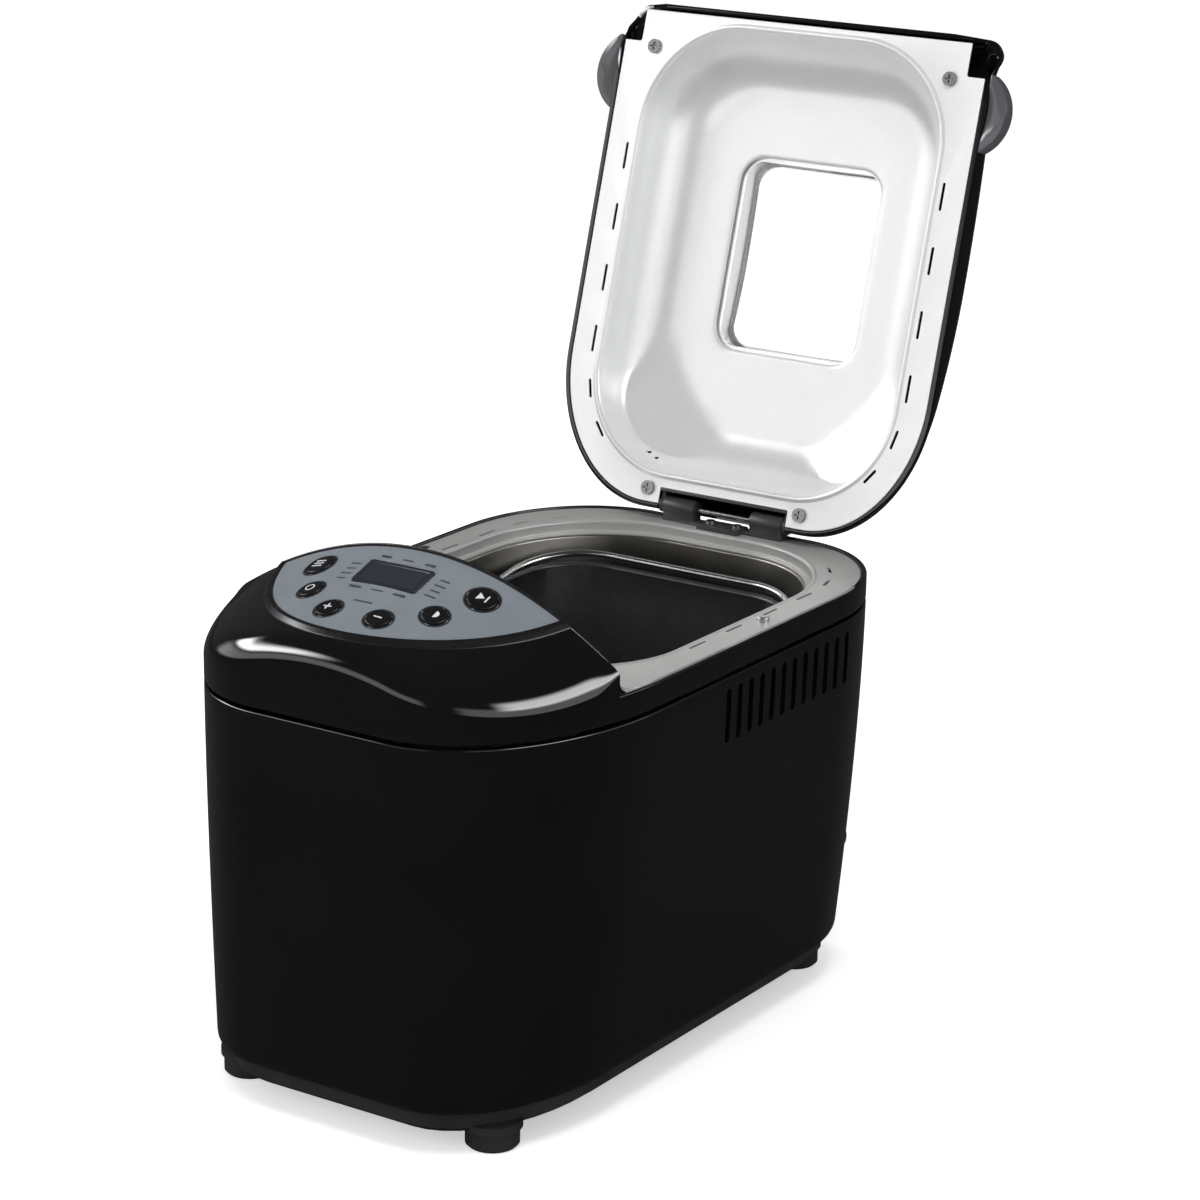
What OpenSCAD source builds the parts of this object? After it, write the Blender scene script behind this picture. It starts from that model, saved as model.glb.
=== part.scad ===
// Bread machine: moulded housing, hinged lid with a window, lift-out pan with a bail,
// and a belt drive that turns the kneading paddle from below.
// Millimetres. X is to the right as seen from the front, Y to the back, Z up.
// The origin is on the table, midway between the front wall and the open lid's back edge.

/* [Housing] */
// Width over the side walls at the seam
body_w = 236; // [224:1:250]
// Length of the control hood, from the front wall to its back wall
hood_len = 86; // [82:1:96]
// Reach of the housing behind the hinge axis
rear_over = 7; // [6.5:0.5:12]
// Height of the shell's lower edge over the table
shell_z = 22; // [20:1:26]
// Height of the seam between shell and top cover
seam_z = 210; // [204:1:212]
// Height of the deck's metal face
deck_z = 224; // [222:0.5:226]
// Wall of the lower shell
shell_t = 3.4; // [2.8:0.1:4]
// Wall of the top cover
cover_t = 2.6; // [2:0.1:3]
// How far each side wall leans in from seam to lower edge
side_taper = 13; // [8:0.5:16]
// How far the front wall leans in from seam to lower edge
front_taper = 4; // [0:0.5:8]
// Height of the dark groove along the seam
seam_gap = 2; // [1:0.25:3]
// Width of the top cover's rim beside the deck
rim_w = 3; // [2:0.25:4]

/* [Vents] */
// Number of vent slots in each side wall
vent_n = 12; // [6:1:13]
// Distance from slot to slot
vent_pitch = 10.6; // [8:0.1:11]
// Width of a slot
vent_w = 4.4; // [2:0.1:5]
// Height of a slot
vent_h = 33; // [20:1:45]
// Distance from the seam down to the slots
vent_drop = 4; // [3:0.5:10]

/* [Hood and panel] */
// Height of the hood's crown over the deck, at the panel's back edge
hood_rise = 53; // [48:0.5:58]
// Fall of the hood's top towards the front, per millimetre
hood_slope = 0.345; // [0.3:0.005:0.38]
// Fall of the crown at 100 mm from the middle
crown_fall = 30; // [26:0.5:32]
// Rounding along the hood's upper edge
hood_round = 10; // [6:0.5:12]
// Half the width of the control panel
panel_half_w = 84; // [80:0.5:86]
// Length of the panel from its back edge to its front edge
panel_len = 68; // [62:0.5:70]
// Thickness of the panel
panel_t = 1.8; // [1.4:0.1:2.2]
// Radius of the start and programme buttons
big_button_r = 7.6; // [6:0.1:8]
// Radius of the other buttons
small_button_r = 6.3; // [5:0.1:6.6]
// Travel of a button
button_travel = 1.2; // [0.8:0.1:1.5]
// Gap round each button
button_gap = 0.35; // [0.25:0.05:0.6]
// Width of the display
display_w = 38; // [34:0.5:40]
// Height of the display along the panel
display_h = 19; // [16:0.5:20]

/* [Deck and oven] */
// Width of the opening in the deck
opening_w = 191; // [186:1:194]
// Length of the opening in the deck
opening_len = 249; // [240:1:252]
// Distance from the opening's back edge to the hinge axis
opening_back = 13; // [12:0.5:16]
// Thickness of the deck's metal sheet
deck_t = 1.4; // [1:0.1:1.8]
// Depth of the step from the deck to the oven's own rim
deck_step = 7; // [5:0.5:8]
// Length of a slot in the deck and the lid liner
slot_len = 15.2; // [10:0.1:18]
// Distance between these slots
slot_pitch = 34.5; // [28:0.1:36]
// Width of these slots
slot_w = 1.7; // [1.2:0.1:2.4]
// Height of the oven's floor
oven_z = 62; // [60:0.5:66]
// Sheet thickness of the oven
oven_t = 1.2; // [0.8:0.1:1.5]
// Radius of the heater's tube
heater_r = 3.2; // [2.8:0.1:3.6]

/* [Lid] */
// Length of the lid, from its front edge to the hinge axis
lid_len = 274; // [268:1:276]
// Width of the lid
lid_w = 233; // [226:1:235]
// Height of the hinge axis over the deck
hinge_rise = 8; // [7:0.5:9]
// Gap between the deck and the closed lid's liner
lid_gap = 3; // [2:0.25:4]
// Height of the dome's highest point over the hinge axis
dome_rise = 54; // [50:0.5:58]
// Wall of the lid's outer shell
lid_t = 2.6; // [2:0.1:3]
// Depth of the liner's bowl
bowl_depth = 35; // [30:0.5:36]
// Sheet thickness of the liner
liner_t = 1.2; // [1:0.1:1.5]
// Width of the window in the liner
window_w = 90; // [70:1:94]
// Length of the window in the liner
window_len = 108; // [80:1:112]
// Angle of the open lid
open_angle = 106.3; // [96:0.1:106.5]

/* [Hinge] */
// Radius of the hinge knuckles
knuckle_r = 5; // [4.5:0.1:5.2]
// Radius of the hinge pin
pin_r = 1.6; // [1.4:0.1:2]
// Width of the gap that the hinge sits in
hinge_w = 82; // [70:1:90]

/* [Pan and paddle] */
// Width of the pan over its rim
pan_w = 160; // [150:1:164]
// Length of the pan over its rim
pan_len = 192; // [180:1:200]
// Height of the pan
pan_h = 128; // [120:1:130]
// Wall of the pan
pan_t = 1.5; // [1.2:0.1:2]
// How much narrower each side of the pan is at the bottom
pan_taper = 7; // [4:0.5:9]
// Corner radius of the pan
pan_corner = 36; // [28:1:40]
// Radius of the bail's wire
bail_r = 1.9; // [1.5:0.1:2.1]
// Length of the kneading blade from the shaft's axis
blade_len = 44; // [36:1:50]
// Height of the kneading blade
blade_h = 27; // [20:1:32]

/* [Drive] */
// Radius of the drive shaft
shaft_r = 5; // [4:0.25:6]
// Radius of the pan's paddle shaft
paddle_shaft_r = 4; // [3.5:0.25:4.5]
// Running clearance of shafts and pins
run_gap = 0.05; // [0.03:0.01:0.08]
// Radius of the large pulley
large_pulley_r = 56; // [48:1:60]
// Radius of the motor pulley
small_pulley_r = 9; // [8:0.5:12]
// Width of the belt
belt_w = 7; // [5:0.5:8]
// Radius of the motor's rotor
rotor_r = 21; // [18:0.5:23]

/* [Feet] */
// Radius of a foot
foot_r = 13.5; // [11:0.5:15]
// Height of a foot below the base plate
foot_h = 10; // [8:0.5:11]
// Half the distance between left and right feet
foot_x = 75; // [68:1:78]

/* [Hidden] */

// Clearances
fit = 0.2;        // between fixed parts that slot together
seat = 0.3;       // between a moving part and its rest
eps = 0.5;        // how far a cut runs past a face

// Stations along Y and Z
hinge_y = 125;
hinge_z = deck_z + hinge_rise;
half_w = body_w / 2;
rear_y = hinge_y + rear_over;
lid_front = hinge_y - lid_len;
hood_back = lid_front - 6;
front_y = hood_back - hood_len;
cover_z = seam_z + seam_gap;
rim_z = deck_z + 1;
deck_front = hood_back + 12;
opening_rear = hinge_y - opening_back;
oven_y = opening_rear - opening_len / 2;
base_top = foot_h + 3;
panel_y = hood_back - 3;

// Points on a quarter ellipse, from one angle to another
function arc(cx, cy, a, b, from, to, n) =
    [for (i = [0:n]) let (t = from + (to - from) * i / n) [cx + a * cos(t), cy + b * sin(t)]];

// Points between two others, leaving both out
function between(p, q, n) = [for (i = [1:n - 1]) p + (q - p) * i / n];

// Plan outline with elliptical corners: fa by fb in front, ra by rb behind.
// Each straight edge is split into "cuts" pieces, and each corner into "n".
function plan(w, yf, yr, fa, fb, ra, rb, n = 6, cuts = 6) = concat(
    arc(w - ra, yr - rb, ra, rb, 0, 90, n),
    between([w - ra, yr], [ra - w, yr], cuts),
    arc(ra - w, yr - rb, ra, rb, 90, 180, n),
    between([-w, yr - rb], [-w, yf + fb], cuts),
    arc(fa - w, yf + fb, fa, fb, 180, 270, n),
    between([fa - w, yf], [w - fa, yf], cuts),
    arc(w - fa, yf + fb, fa, fb, 270, 360, n),
    between([w, yf + fb], [w, yr - rb], cuts));

// Ring of points at one height
function level(pts, z) = [for (p = pts) [p.x, p.y, z]];

// Mean point of a ring
function middle(ring) = let (n = len(ring)) [for (k = [0:2]) sum([for (p = ring) p[k]], n) / n];
function sum(v, n) = n == 0 ? 0 : v[n - 1] + sum(v, n - 1);
function reverse(v) = [for (i = [len(v) - 1:-1:0]) v[i]];

// Solid through rings of equal length. Both ends close on a middle point,
// or, with "ring" set, the last ring joins the first.
module skin(rings, ring = false, foot = undef, head = undef) {
    n = len(rings[0]);
    m = len(rings);
    p = is_undef(foot) ? middle(rings[0]) : foot;
    q = is_undef(head) ? middle(rings[m - 1]) : head;
    sides = [for (k = [0:m - (ring ? 1 : 2)], i = [0:n - 1])
        let (j = (i + 1) % n, a = k * n, b = ((k + 1) % m) * n)
        each [[a + i, b + i, b + j], [a + i, b + j, a + j]]];
    ends = ring ? [] : [for (i = [0:n - 1]) let (j = (i + 1) % n, t = (m - 1) * n)
        each [[m * n, i, j], [m * n + 1, t + j, t + i]]];
    polyhedron(concat([for (r = rings) each r], ring ? [] : [p, q]), concat(sides, ends), convexity = 8);
}

// Rings of a dome on a plan outline between yf and yr, from z0 up to the surface top(x, y).
// Its upper edge is rounded by r at the front and sides, and by rb at the back.
// Nowhere is the dome lower than "least" above z0.
function crown(pts, w, yf, yr, z0, top, r, rb, least = 0.6) = let (
    steps = 4,
    fills = 5,
    yc = (yf + yr) / 2,
    edge = [for (k = [0:steps])
        let (u = 1 - cos(90 * k / steps), q = drawn_in(pts, w, yf, yr, r * u, rb * u))
        [for (p = q) [p.x, p.y, max(z0 + least + 0.5 * k, top(p.x, p.y) - r * (1 - sin(90 * k / steps)))]]],
    fill = [for (k = [1:fills]) let (f = 1 - k / (fills + 1))
        [for (p = drawn_in(pts, w, yf, yr, r, rb)) let (x = p.x * f, y = yc + (p.y - yc) * f)
            [x, y, max(z0 + least + 0.5 * (steps + k), top(x, y))]]])
    concat([level(pts, z0)], edge, fill);

// Outline scaled so that its sides and front move in by d, and its back by db
function drawn_in(pts, w, yf, yr, d, db) = [for (p = pts)
    [p.x * (w - d) / w, yr - db - (yr - p.y) * (yr - yf - d - db) / (yr - yf)]];

// Rounded rectangle, centred on a point
module round_rect(w, l, r, y = 0) {
    translate([0, y]) union() {
        square([w - 2 * r, l], center = true);
        square([w, l - 2 * r], center = true);
        for (sx = [-1, 1], sy = [-1, 1])
            translate([sx * (w / 2 - r), sy * (l / 2 - r)]) circle(r, $fn = 48);
    }
}

module tube(r_out, r_in, h) {
    difference() {
        cylinder(r = r_out, h = h, $fn = 64);
        translate([0, 0, -eps]) cylinder(r = r_in, h = h + 2 * eps, $fn = 64);
    }
}

// Screw with a domed head, its head upwards and its shank below z = 0
module screw(head_r, shank_r, shank_l) {
    difference() {
        union() {
            cylinder(r = head_r, h = head_r * 0.45, $fn = 32);
            translate([0, 0, -shank_l]) cylinder(r = shank_r, h = shank_l + 0.1, $fn = 24);
        }
        for (a = [0, 90]) rotate(a)
            translate([-head_r * 0.6, -head_r * 0.12, head_r * 0.15])
                cube([head_r * 1.2, head_r * 0.24, head_r]);
    }
}

// ---- Housing ----

// Share of the taper reached at height z
function taper(z) = pow((seam_z - z) / (seam_z - shell_z), 1.6);
front_a = 78;   // front corner, across
front_b = 116;  // front corner, along
rear_a = 68;    // rear corner, across
rear_b = 82;    // rear corner, along

// Plan of the housing at height z, drawn in by d
function body_plan(z, d, n = 10, cuts = 6) = let (t = z > seam_z ? 0 : taper(z))
    plan(half_w - side_taper * t - d, front_y + front_taper * t + d,
        rear_y - 5 * t - d, front_a - 18 * t - d, front_b - 24 * t - d,
        rear_a - 8 * t - d, rear_b - 8 * t - d, n, cuts);

shell_levels = [shell_z, shell_z + 3, 45, 80, 120, 165, seam_z];

module lower_shell() {
    round_in = [5, 1.4, 0, 0, 0, 0, 0];
    function wall(d) = [for (i = [0:len(shell_levels) - 1]) let (z = shell_levels[i])
        level(body_plan(z, d + round_in[i]), z)];
    color("#0c0c0e") difference() {
        skin(concat(wall(0), reverse(wall(shell_t))), ring = true);
        for (s = [-1, 1], i = [0:vent_n - 1]) translate([s * half_w, vent_back - i * vent_pitch,
            seam_z - vent_drop - vent_h / 2]) vent_cut();
        translate([gland_x, rear_y, gland_z]) rotate([90, 0, 0])
            cylinder(r = gland_r, h = 40, center = true, $fn = 48);
    }
}
vent_back = hinge_y - 68;

module vent_cut() {
    cube([24, vent_w, vent_h - vent_w], center = true);
    for (s = [-1, 1]) translate([0, 0, s * (vent_h - vent_w) / 2]) rotate([0, 90, 0])
        cylinder(r = vent_w / 2, h = 24, center = true, $fn = 24);
}

// Inlet for the mains lead, low in the back wall
gland_x = 70;
gland_z = 60;
gland_r = 7;

module cord_gland() {
    wall_y = rear_y - 5 * taper(gland_z);
    color("#1a1a1c") translate([gland_x, wall_y, gland_z]) rotate([-90, 0, 0]) difference() {
        union() {
            translate([0, 0, 0.2]) cylinder(r = gland_r + 3, h = 2.4, $fn = 48);
            translate([0, 0, -9]) cylinder(r = gland_r - fit, h = 9.3, $fn = 48);
            translate([0, 0, 2.5]) cylinder(r1 = gland_r, r2 = gland_r - 1.5, h = 6, $fn = 48);
        }
        translate([0, 0, -10]) cylinder(r = 3.4, h = 22, $fn = 32);
    }
}

foot_y = [hinge_y - 325, hinge_y - 40];
post_y = [-212, -120, 44];
post_x = 39;
post_r = 5;
frame_z = 44;
board_x = -77;

module base_plate() {
    lip = shell_t + 5 + fit;
    color("#2a2a2d") difference() {
        union() {
            difference() {
                skin([level(body_plan(shell_z, lip + 4), foot_h),
                    level(body_plan(shell_z, lip), foot_h + 3),
                    level(body_plan(shell_z, lip), shell_z + 6)]);
                translate([0, 0, base_top]) linear_extrude(40) polygon(body_plan(shell_z, lip + 2.4));
            }
            for (x = [-post_x, post_x], y = post_y) translate([x, y, base_top - 0.1])
                cylinder(r = post_r, h = frame_z - base_top + 0.1, $fn = 40);
            for (y = [-204, -162]) translate([board_x - 4, y, base_top - 0.1]) cube([9.6, 4, 12]);
            for (x = [-foot_x, foot_x], y = foot_y)
                translate([x, y, foot_h]) cylinder(r = foot_r + 1.5, h = 4, $fn = 64);
        }
        for (x = [-foot_x, foot_x], y = foot_y)
            translate([x, y, foot_h - 1]) cylinder(r = 4, h = 6, $fn = 32);
        for (x = [-post_x, post_x], y = post_y) translate([x, y, 0]) {
            translate([0, 0, foot_h - 1]) cylinder(r = 1.65, h = 12, $fn = 32);
            translate([0, 0, frame_z - 8]) cylinder(r = 1.75, h = 9, $fn = 32);
        }
        for (i = [-5:5]) translate([i * 9 - 1.6, -28, foot_h - 1]) cube([3.2, 32, 6]);
        translate([board_x - fit, -207, base_top - 0.2]) cube([1.6 + 2 * fit, 52, 20]);
    }
}

module rubber_feet() {
    color("#151515") for (x = [-foot_x, foot_x], y = foot_y) translate([x, y, 0]) union() {
        cylinder(r1 = foot_r - 1.5, r2 = foot_r, h = 1.5, $fn = 64);
        translate([0, 0, 1.5]) cylinder(r = foot_r, h = foot_h - 1.5, $fn = 64);
        translate([0, 0, foot_h - 0.1]) cylinder(r = 4 - fit, h = 2.7, $fn = 32);
    }
}

module base_screws() {
    color("#8e9094") for (x = [-post_x, post_x], y = post_y)
        translate([x, y, foot_h - 0.02]) rotate([180, 0, 0]) screw(2.5, 1.6, 8);
}

// ---- Top cover and hood ----

// Height of the hood's top surface
hood_top = function (x, y)
    deck_z + hood_rise + hood_slope * (y - panel_y) - crown_fall * pow(x / 100, 2);
hood_lower = function (x, y) hood_top(x, y) - cover_t;

// D-shaped plan of the hood: the housing's front corners and a straight back wall
function hood_plan(d) = let (w = half_w - d, yf = front_y + d, a = front_a - d, b = front_b - d,
    back = hood_back - d, t = asin((yf + b - back) / b), xb = w - a + a * cos(t)) concat(
    between([xb, back], [-xb, back], 12),
    arc(a - w, yf + b, a, b, 180 + t, 270, 12),
    between([a - w, yf], [w - a, yf], 5),
    arc(w - a, yf + b, a, b, 270, 360 - t, 12));

module hood(d, z0, top) {
    yc = (front_y + hood_back) / 2;
    skin(crown(hood_plan(d), half_w - d, front_y + d, hood_back - d, z0, top, max(hood_round - d, 2), 2),
        head = [0, yc, top(0, yc)]);
}

// Outline of the deck's metal sheet, drawn in by d
function deck_plan(d) = let (w = half_w - rim_w - d)
    plan(w, deck_front + d, rear_y - rim_w - d, 8, 8, rear_a - rim_w - d, rear_b - rim_w - d, 12, 2);

ledge = 4;         // shelf under the deck's edge
boss_xy = [[-62, -176], [62, -176], [-40, -222], [40, -222]];

module top_cover() {
    lip_z = seam_z - 6;
    color("#0b0b0d") difference() {
        union() {
            translate([0, 0, cover_z]) linear_extrude(rim_z - cover_z) polygon(body_plan(seam_z + 1, 0));
            translate([0, 0, seam_z]) linear_extrude(seam_gap + 0.1) polygon(body_plan(seam_z + 1, 2.2));
            translate([0, 0, lip_z]) linear_extrude(6.1) polygon(body_plan(seam_z + 1, shell_t + fit));
            hood(0, cover_z + 1, hood_top);
            hood_fillets();
        }
        translate([0, 0, deck_z - deck_t]) linear_extrude(20) polygon(deck_plan(-fit));
        translate([0, 0, lip_z - eps]) linear_extrude(deck_z - lip_z) polygon(deck_plan(ledge));
        translate([0, 0, lip_z - eps]) linear_extrude(cover_z - lip_z + 1)
            polygon(body_plan(seam_z + 1, shell_t + 2));
        hood(cover_t, cover_z - 1, hood_lower);
        panel_solid(-fit, 20, 0.1);
        for (b = buttons) on_panel(b) cylinder(r = b[2] + button_gap, h = 40, center = true, $fn = 48);
        display_cut(1.5);
    }
    color("#0b0b0d") difference() {
        for (p = boss_xy) translate([p.x, p.y, board_z(p.y)]) rotate([tilt, 0, 0])
            cylinder(r = 3, h = (hood_lower(p.x, p.y) - board_z(p.y)) * cos(tilt) + 0.9, $fn = 32);
        panel_solid(-fit, 20, 0.1);
    }
}

// Concave corners between the hood's back wall and the deck's rim
module hood_fillets() {
    r = 13;
    for (s = [-1, 1]) translate([s * (half_w - 9), hood_back - 0.1, rim_z - 0.1]) difference() {
        translate([-9, 0, 0]) cube([18, r - 1.2, r - 1.2]);
        translate([-10, r, r]) rotate([0, 90, 0]) cylinder(r = r, h = 20, $fn = 64);
        translate([s > 0 ? 2 : -12, -1, -1]) cube([10, 20, 20]);
    }
}

// Panel outline: an ellipse cut off by a straight back edge
panel_b = 121.5;
panel_a = panel_half_w * 1.098;
function panel_plan(d) = let (yc = panel_y - panel_len + panel_b, b = panel_b - d, a = panel_a - d,
    back = panel_y - d, t = asin((yc - back) / b)) concat(
    between([a * cos(t), back], [-a * cos(t), back], 10),
    [for (i = [0:20]) let (u = 180 + t + (180 - 2 * t) * i / 20) [a * cos(u), yc + b * sin(u)]]);

// Curved plate on the hood's top surface, from "below" under it up to "above" over it
module panel_solid(d, above, gap = 0) {
    pts = panel_plan(d);
    yc = panel_y - panel_len / 2;
    h0 = 0.5 - panel_t - gap;
    function drape(f, h) = [for (p = pts)
        let (x = p.x * f, y = yc + (p.y - yc) * f) [x, y, hood_top(x, y) + h]];
    steps = [0.25, 0.5, 0.75, 1];
    skin(concat([for (f = steps) drape(f, h0)], [for (f = reverse(steps)) drape(f, above)]),
        foot = [0, yc, hood_top(0, yc) + h0], head = [0, yc, hood_top(0, yc) + above]);
}

// Buttons: x, y, radius
buttons = [[-48.5, panel_y - 15.5, big_button_r], [-36.8, panel_y - 38, small_button_r],
    [-14.8, panel_y - 53, small_button_r], [14.8, panel_y - 53, small_button_r],
    [36.8, panel_y - 38, small_button_r], [48.5, panel_y - 15.5, big_button_r]];

// Places its children on the hood's top surface, along the surface normal
module on_panel(b) {
    slope_x = -2 * crown_fall * b.x / 10000;
    translate([b.x, b.y, hood_top(b.x, b.y)]) rotate([tilt, 0, 0])
        rotate([0, -atan(slope_x * cos(tilt)), 0]) children();
}

display_y = panel_y - 21.5;
module display_cut(extra) {
    translate([0, display_y, hood_top(0, display_y)]) rotate([tilt, 0, 0])
        cube([display_w + 2 * extra, display_h + 2 * extra, 30], center = true);
}

module control_panel() {
    color("#a9adb3") difference() {
        panel_solid(0, 0.5);
        for (b = buttons) on_panel(b) cylinder(r = b[2] + button_gap, h = 20, center = true, $fn = 48);
        display_cut(fit);
    }
}

// The window's flange lies under the panel, and the module carries it
flange_n = 2.7;
flange_t = 1.5;
module display_window() {
    color("#3a3f4a") translate([0, display_y, hood_top(0, display_y)]) rotate([tilt, 0, 0])
        union() {
            translate([0, 0, 0.1 - (flange_n + 0.2) / 2])
                cube([display_w, display_h, flange_n + 0.2], center = true);
            translate([0, 0, -flange_n - flange_t / 2])
                cube([display_w + 2, display_h + 2, flange_t], center = true);
        }
}

module display_module() {
    top = flange_n + flange_t + 0.1;
    h = board_n - top - 0.1;
    color("#5b6a5a") translate([0, display_y, hood_top(0, display_y)]) rotate([tilt, 0, 0])
        translate([0, 0, -top - h / 2]) cube([display_w + 6, display_h + 4, h], center = true);
}

// The control board lies parallel to the panel, this far below its crown
board_depth = 20;
board_t = 1.6;
tilt = atan(hood_slope);
board_n = (board_depth + 0.3) * cos(tilt);
function board_z(y) = hood_top(0, y) - board_depth;

module circuit_board() {
    yc = panel_y - 35.5;
    color("#2e6b3a") translate([0, yc, hood_top(0, yc)]) rotate([tilt, 0, 0])
        translate([0, 0, -board_n - board_t / 2]) cube([140, 58, board_t], center = true);
    color("#222222") for (b = buttons) translate([b.x, b.y, hood_top(0, b.y)]) rotate([tilt, 0, 0])
        translate([0, 0, -board_n - 0.1]) switch_body(b);
}

// Key switch under a button, with room for the button's travel
module switch_body(b) {
    drop = crown_fall * pow(b.x / 100, 2);
    lean = 2 * crown_fall * abs(b.x) / 10000 * 3;
    h = board_n - drop * cos(tilt) - stem - button_travel - lean - 0.6;
    translate([-2.5, -2.5, 0]) cube([5, 5, max(h, 1)]);
}

stem = 6.5;     // length of a button below the hood's surface

module key(i) {
    b = buttons[i];
    color("#101012") on_panel(b) union() {
        translate([0, 0, -stem]) cylinder(r = b[2], h = stem + 1.3, $fn = 48);
        translate([0, 0, 1.3]) cylinder(r1 = b[2], r2 = b[2] - 0.6, h = 0.5, $fn = 48);
        translate([0, 0, -cover_t - 3]) cylinder(r = b[2] + 1.4, h = 2, $fn = 48);
    }
}
module button_program() { key(0); }
module button_weight() { key(1); }
module button_plus() { key(2); }
module button_minus() { key(3); }
module button_colour() { key(4); }
module button_start() { key(5); }

// Supply board with its transformer, relay and capacitor, upright beside the motor
module power_board() {
    x = board_x + 1.6;
    color("#3c7a46") translate([board_x, -206, base_top - 0.2]) cube([1.6, 50, 96]);
    color("#3a3a3c") translate([x, -203, base_top + 22]) cube([26, 30, 26]);
    color("#2b4f8a") translate([x, -170, base_top + 40]) cube([12, 12, 18]);
    color("#1f1f22") translate([x, -190, base_top + 72]) rotate([0, 90, 0])
        cylinder(r = 8, h = 20, $fn = 40);
}

// ---- Deck and oven ----

// Outline of an oven opening whose corners follow the deck
function oven_plan(d, n = 10, cuts = 2) = plan(opening_w / 2 - d, oven_y - opening_len / 2 + d,
    oven_y + opening_len / 2 - d, 60 - d, 60 - d, 72 - d, 78 - d, n, cuts);

// Slots beside the opening: four long ones and two that turn round the corner.
// Positions are measured from the hinge axis towards the front.
slot_first = 195.2;
slot_x = 100.5;
module edge_slots() {
    for (s = [-1, 1]) {
        for (i = [0:3]) slot_2d([s * slot_x, -slot_first + i * slot_pitch],
            [s * slot_x, -slot_first + i * slot_pitch + slot_len]);
        slot_2d([s * 98.8, -61.5], [s * 96.2, -51]);
        slot_2d([s * 89.8, -38.6], [s * 83.8, -30.8]);
    }
}

// Slot with square ends between two points
module slot_2d(p, q) {
    l = norm(q - p);
    translate(p) rotate(atan2(q.y - p.y, q.x - p.x)) translate([0, -slot_w / 2]) square([l, slot_w]);
}

module deck_flange() {
    step_w = 3.4;
    color("#b7b9bb") difference() {
        union() {
            translate([0, 0, deck_z - deck_t]) linear_extrude(deck_t) polygon(deck_plan(0));
            translate([0, 0, deck_z - deck_step]) linear_extrude(deck_step) polygon(oven_plan(-deck_t));
        }
        translate([0, 0, deck_z - deck_step + deck_t]) linear_extrude(deck_step) polygon(oven_plan(0));
        translate([0, 0, deck_z - deck_step - eps]) linear_extrude(deck_step) polygon(oven_plan(step_w));
        translate([0, hinge_y, deck_z - 4]) linear_extrude(8) edge_slots();
    }
}

module lid_bumpers() {
    color("#c9cacb") for (s = [-1, 1]) translate([s * (half_w - 12), hinge_y - 134, deck_z])
        cylinder(r = 3.2, h = lid_gap - 0.3, $fn = 40);
}

oven_top = deck_z - deck_step;
oven_front = oven_y - opening_len / 2 + 3;
module oven_chamber() {
    color("#6f6b66") difference() {
        union() {
            translate([0, 0, oven_z]) linear_extrude(oven_top - oven_z) polygon(oven_plan(3));
            translate([0, 0, oven_top - oven_t]) linear_extrude(oven_t) polygon(oven_plan(0));
        }
        translate([0, 0, oven_z + oven_t]) linear_extrude(oven_top) polygon(oven_plan(3 + oven_t));
        translate([0, oven_y, oven_z - eps]) cylinder(r = 22, h = 4, $fn = 64);
        for (s = [-1, 1]) translate([s * terminal_x, oven_front, heater_z]) rotate([90, 0, 0])
            cylinder(r = 5.2, h = 40, center = true, $fn = 32);
        translate([sensor_x, oven_front, sensor_z]) rotate([90, 0, 0])
            cylinder(r = 4.2, h = 40, center = true, $fn = 32);
    }
}

// Metal shield between the oven and the parts under the hood
shield_y = oven_y - opening_len / 2 - 4;
module heat_shield() {
    color("#9a9c9e") difference() {
        union() {
            translate([-84, shield_y - 0.8, base_top]) cube([168, 0.8, 188]);
            translate([-84, shield_y - 12, base_top]) cube([168, 12, 0.8]);
        }
        for (s = [-1, 1]) translate([s * terminal_x, shield_y, heater_z]) rotate([90, 0, 0])
            cylinder(r = 8, h = 10, center = true, $fn = 32);
        translate([sensor_x, shield_y, sensor_z]) rotate([90, 0, 0])
            cylinder(r = 7, h = 10, center = true, $fn = 32);
        translate([-50, shield_y - 15, base_top - 1]) cube([100, 30, frame_z - base_top + 6]);
    }
}

// Tubular heater: a rounded loop round the foot of the pan, with two ends through the front wall
heater_z = 76;
terminal_x = 18;
loop_w = opening_w / 2 - 16.5;
loop_l = opening_len / 2 - 18.5;
loop_r = 44;
module heating_element() {
    module run(x, y, a, l)
        translate([x, y, heater_z]) rotate([0, 90, a]) cylinder(r = heater_r, h = l, $fn = 40);
    module bend(x, y, a, r) translate([x, y, heater_z]) rotate(a) rotate_extrude(angle = 90, $fn = 96)
        translate([r, 0]) circle(heater_r, $fn = 40);
    br = 10;
    front = oven_y - loop_l;
    terminal_l = front - br - motor_y - stator_w / 2 - 2.5;
    color("#4b4a4c") {
        run(loop_w, front + loop_r, 90, 2 * (loop_l - loop_r));
        run(-loop_w, front + loop_r, 90, 2 * (loop_l - loop_r));
        run(-loop_w + loop_r, oven_y + loop_l, 0, 2 * (loop_w - loop_r));
        bend(loop_w - loop_r, oven_y + loop_l - loop_r, 0, loop_r);
        bend(loop_r - loop_w, oven_y + loop_l - loop_r, 90, loop_r);
        bend(loop_r - loop_w, front + loop_r, 180, loop_r);
        bend(loop_w - loop_r, front + loop_r, 270, loop_r);
        for (s = [-1, 1]) {
            run(s > 0 ? terminal_x + br : loop_r - loop_w, front, 0, loop_w - loop_r - terminal_x - br);
            bend(s * (terminal_x + br), front - br, s > 0 ? 90 : 0, br);
            run(s * terminal_x, front - br - terminal_l, 90, terminal_l);
        }
    }
}

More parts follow.
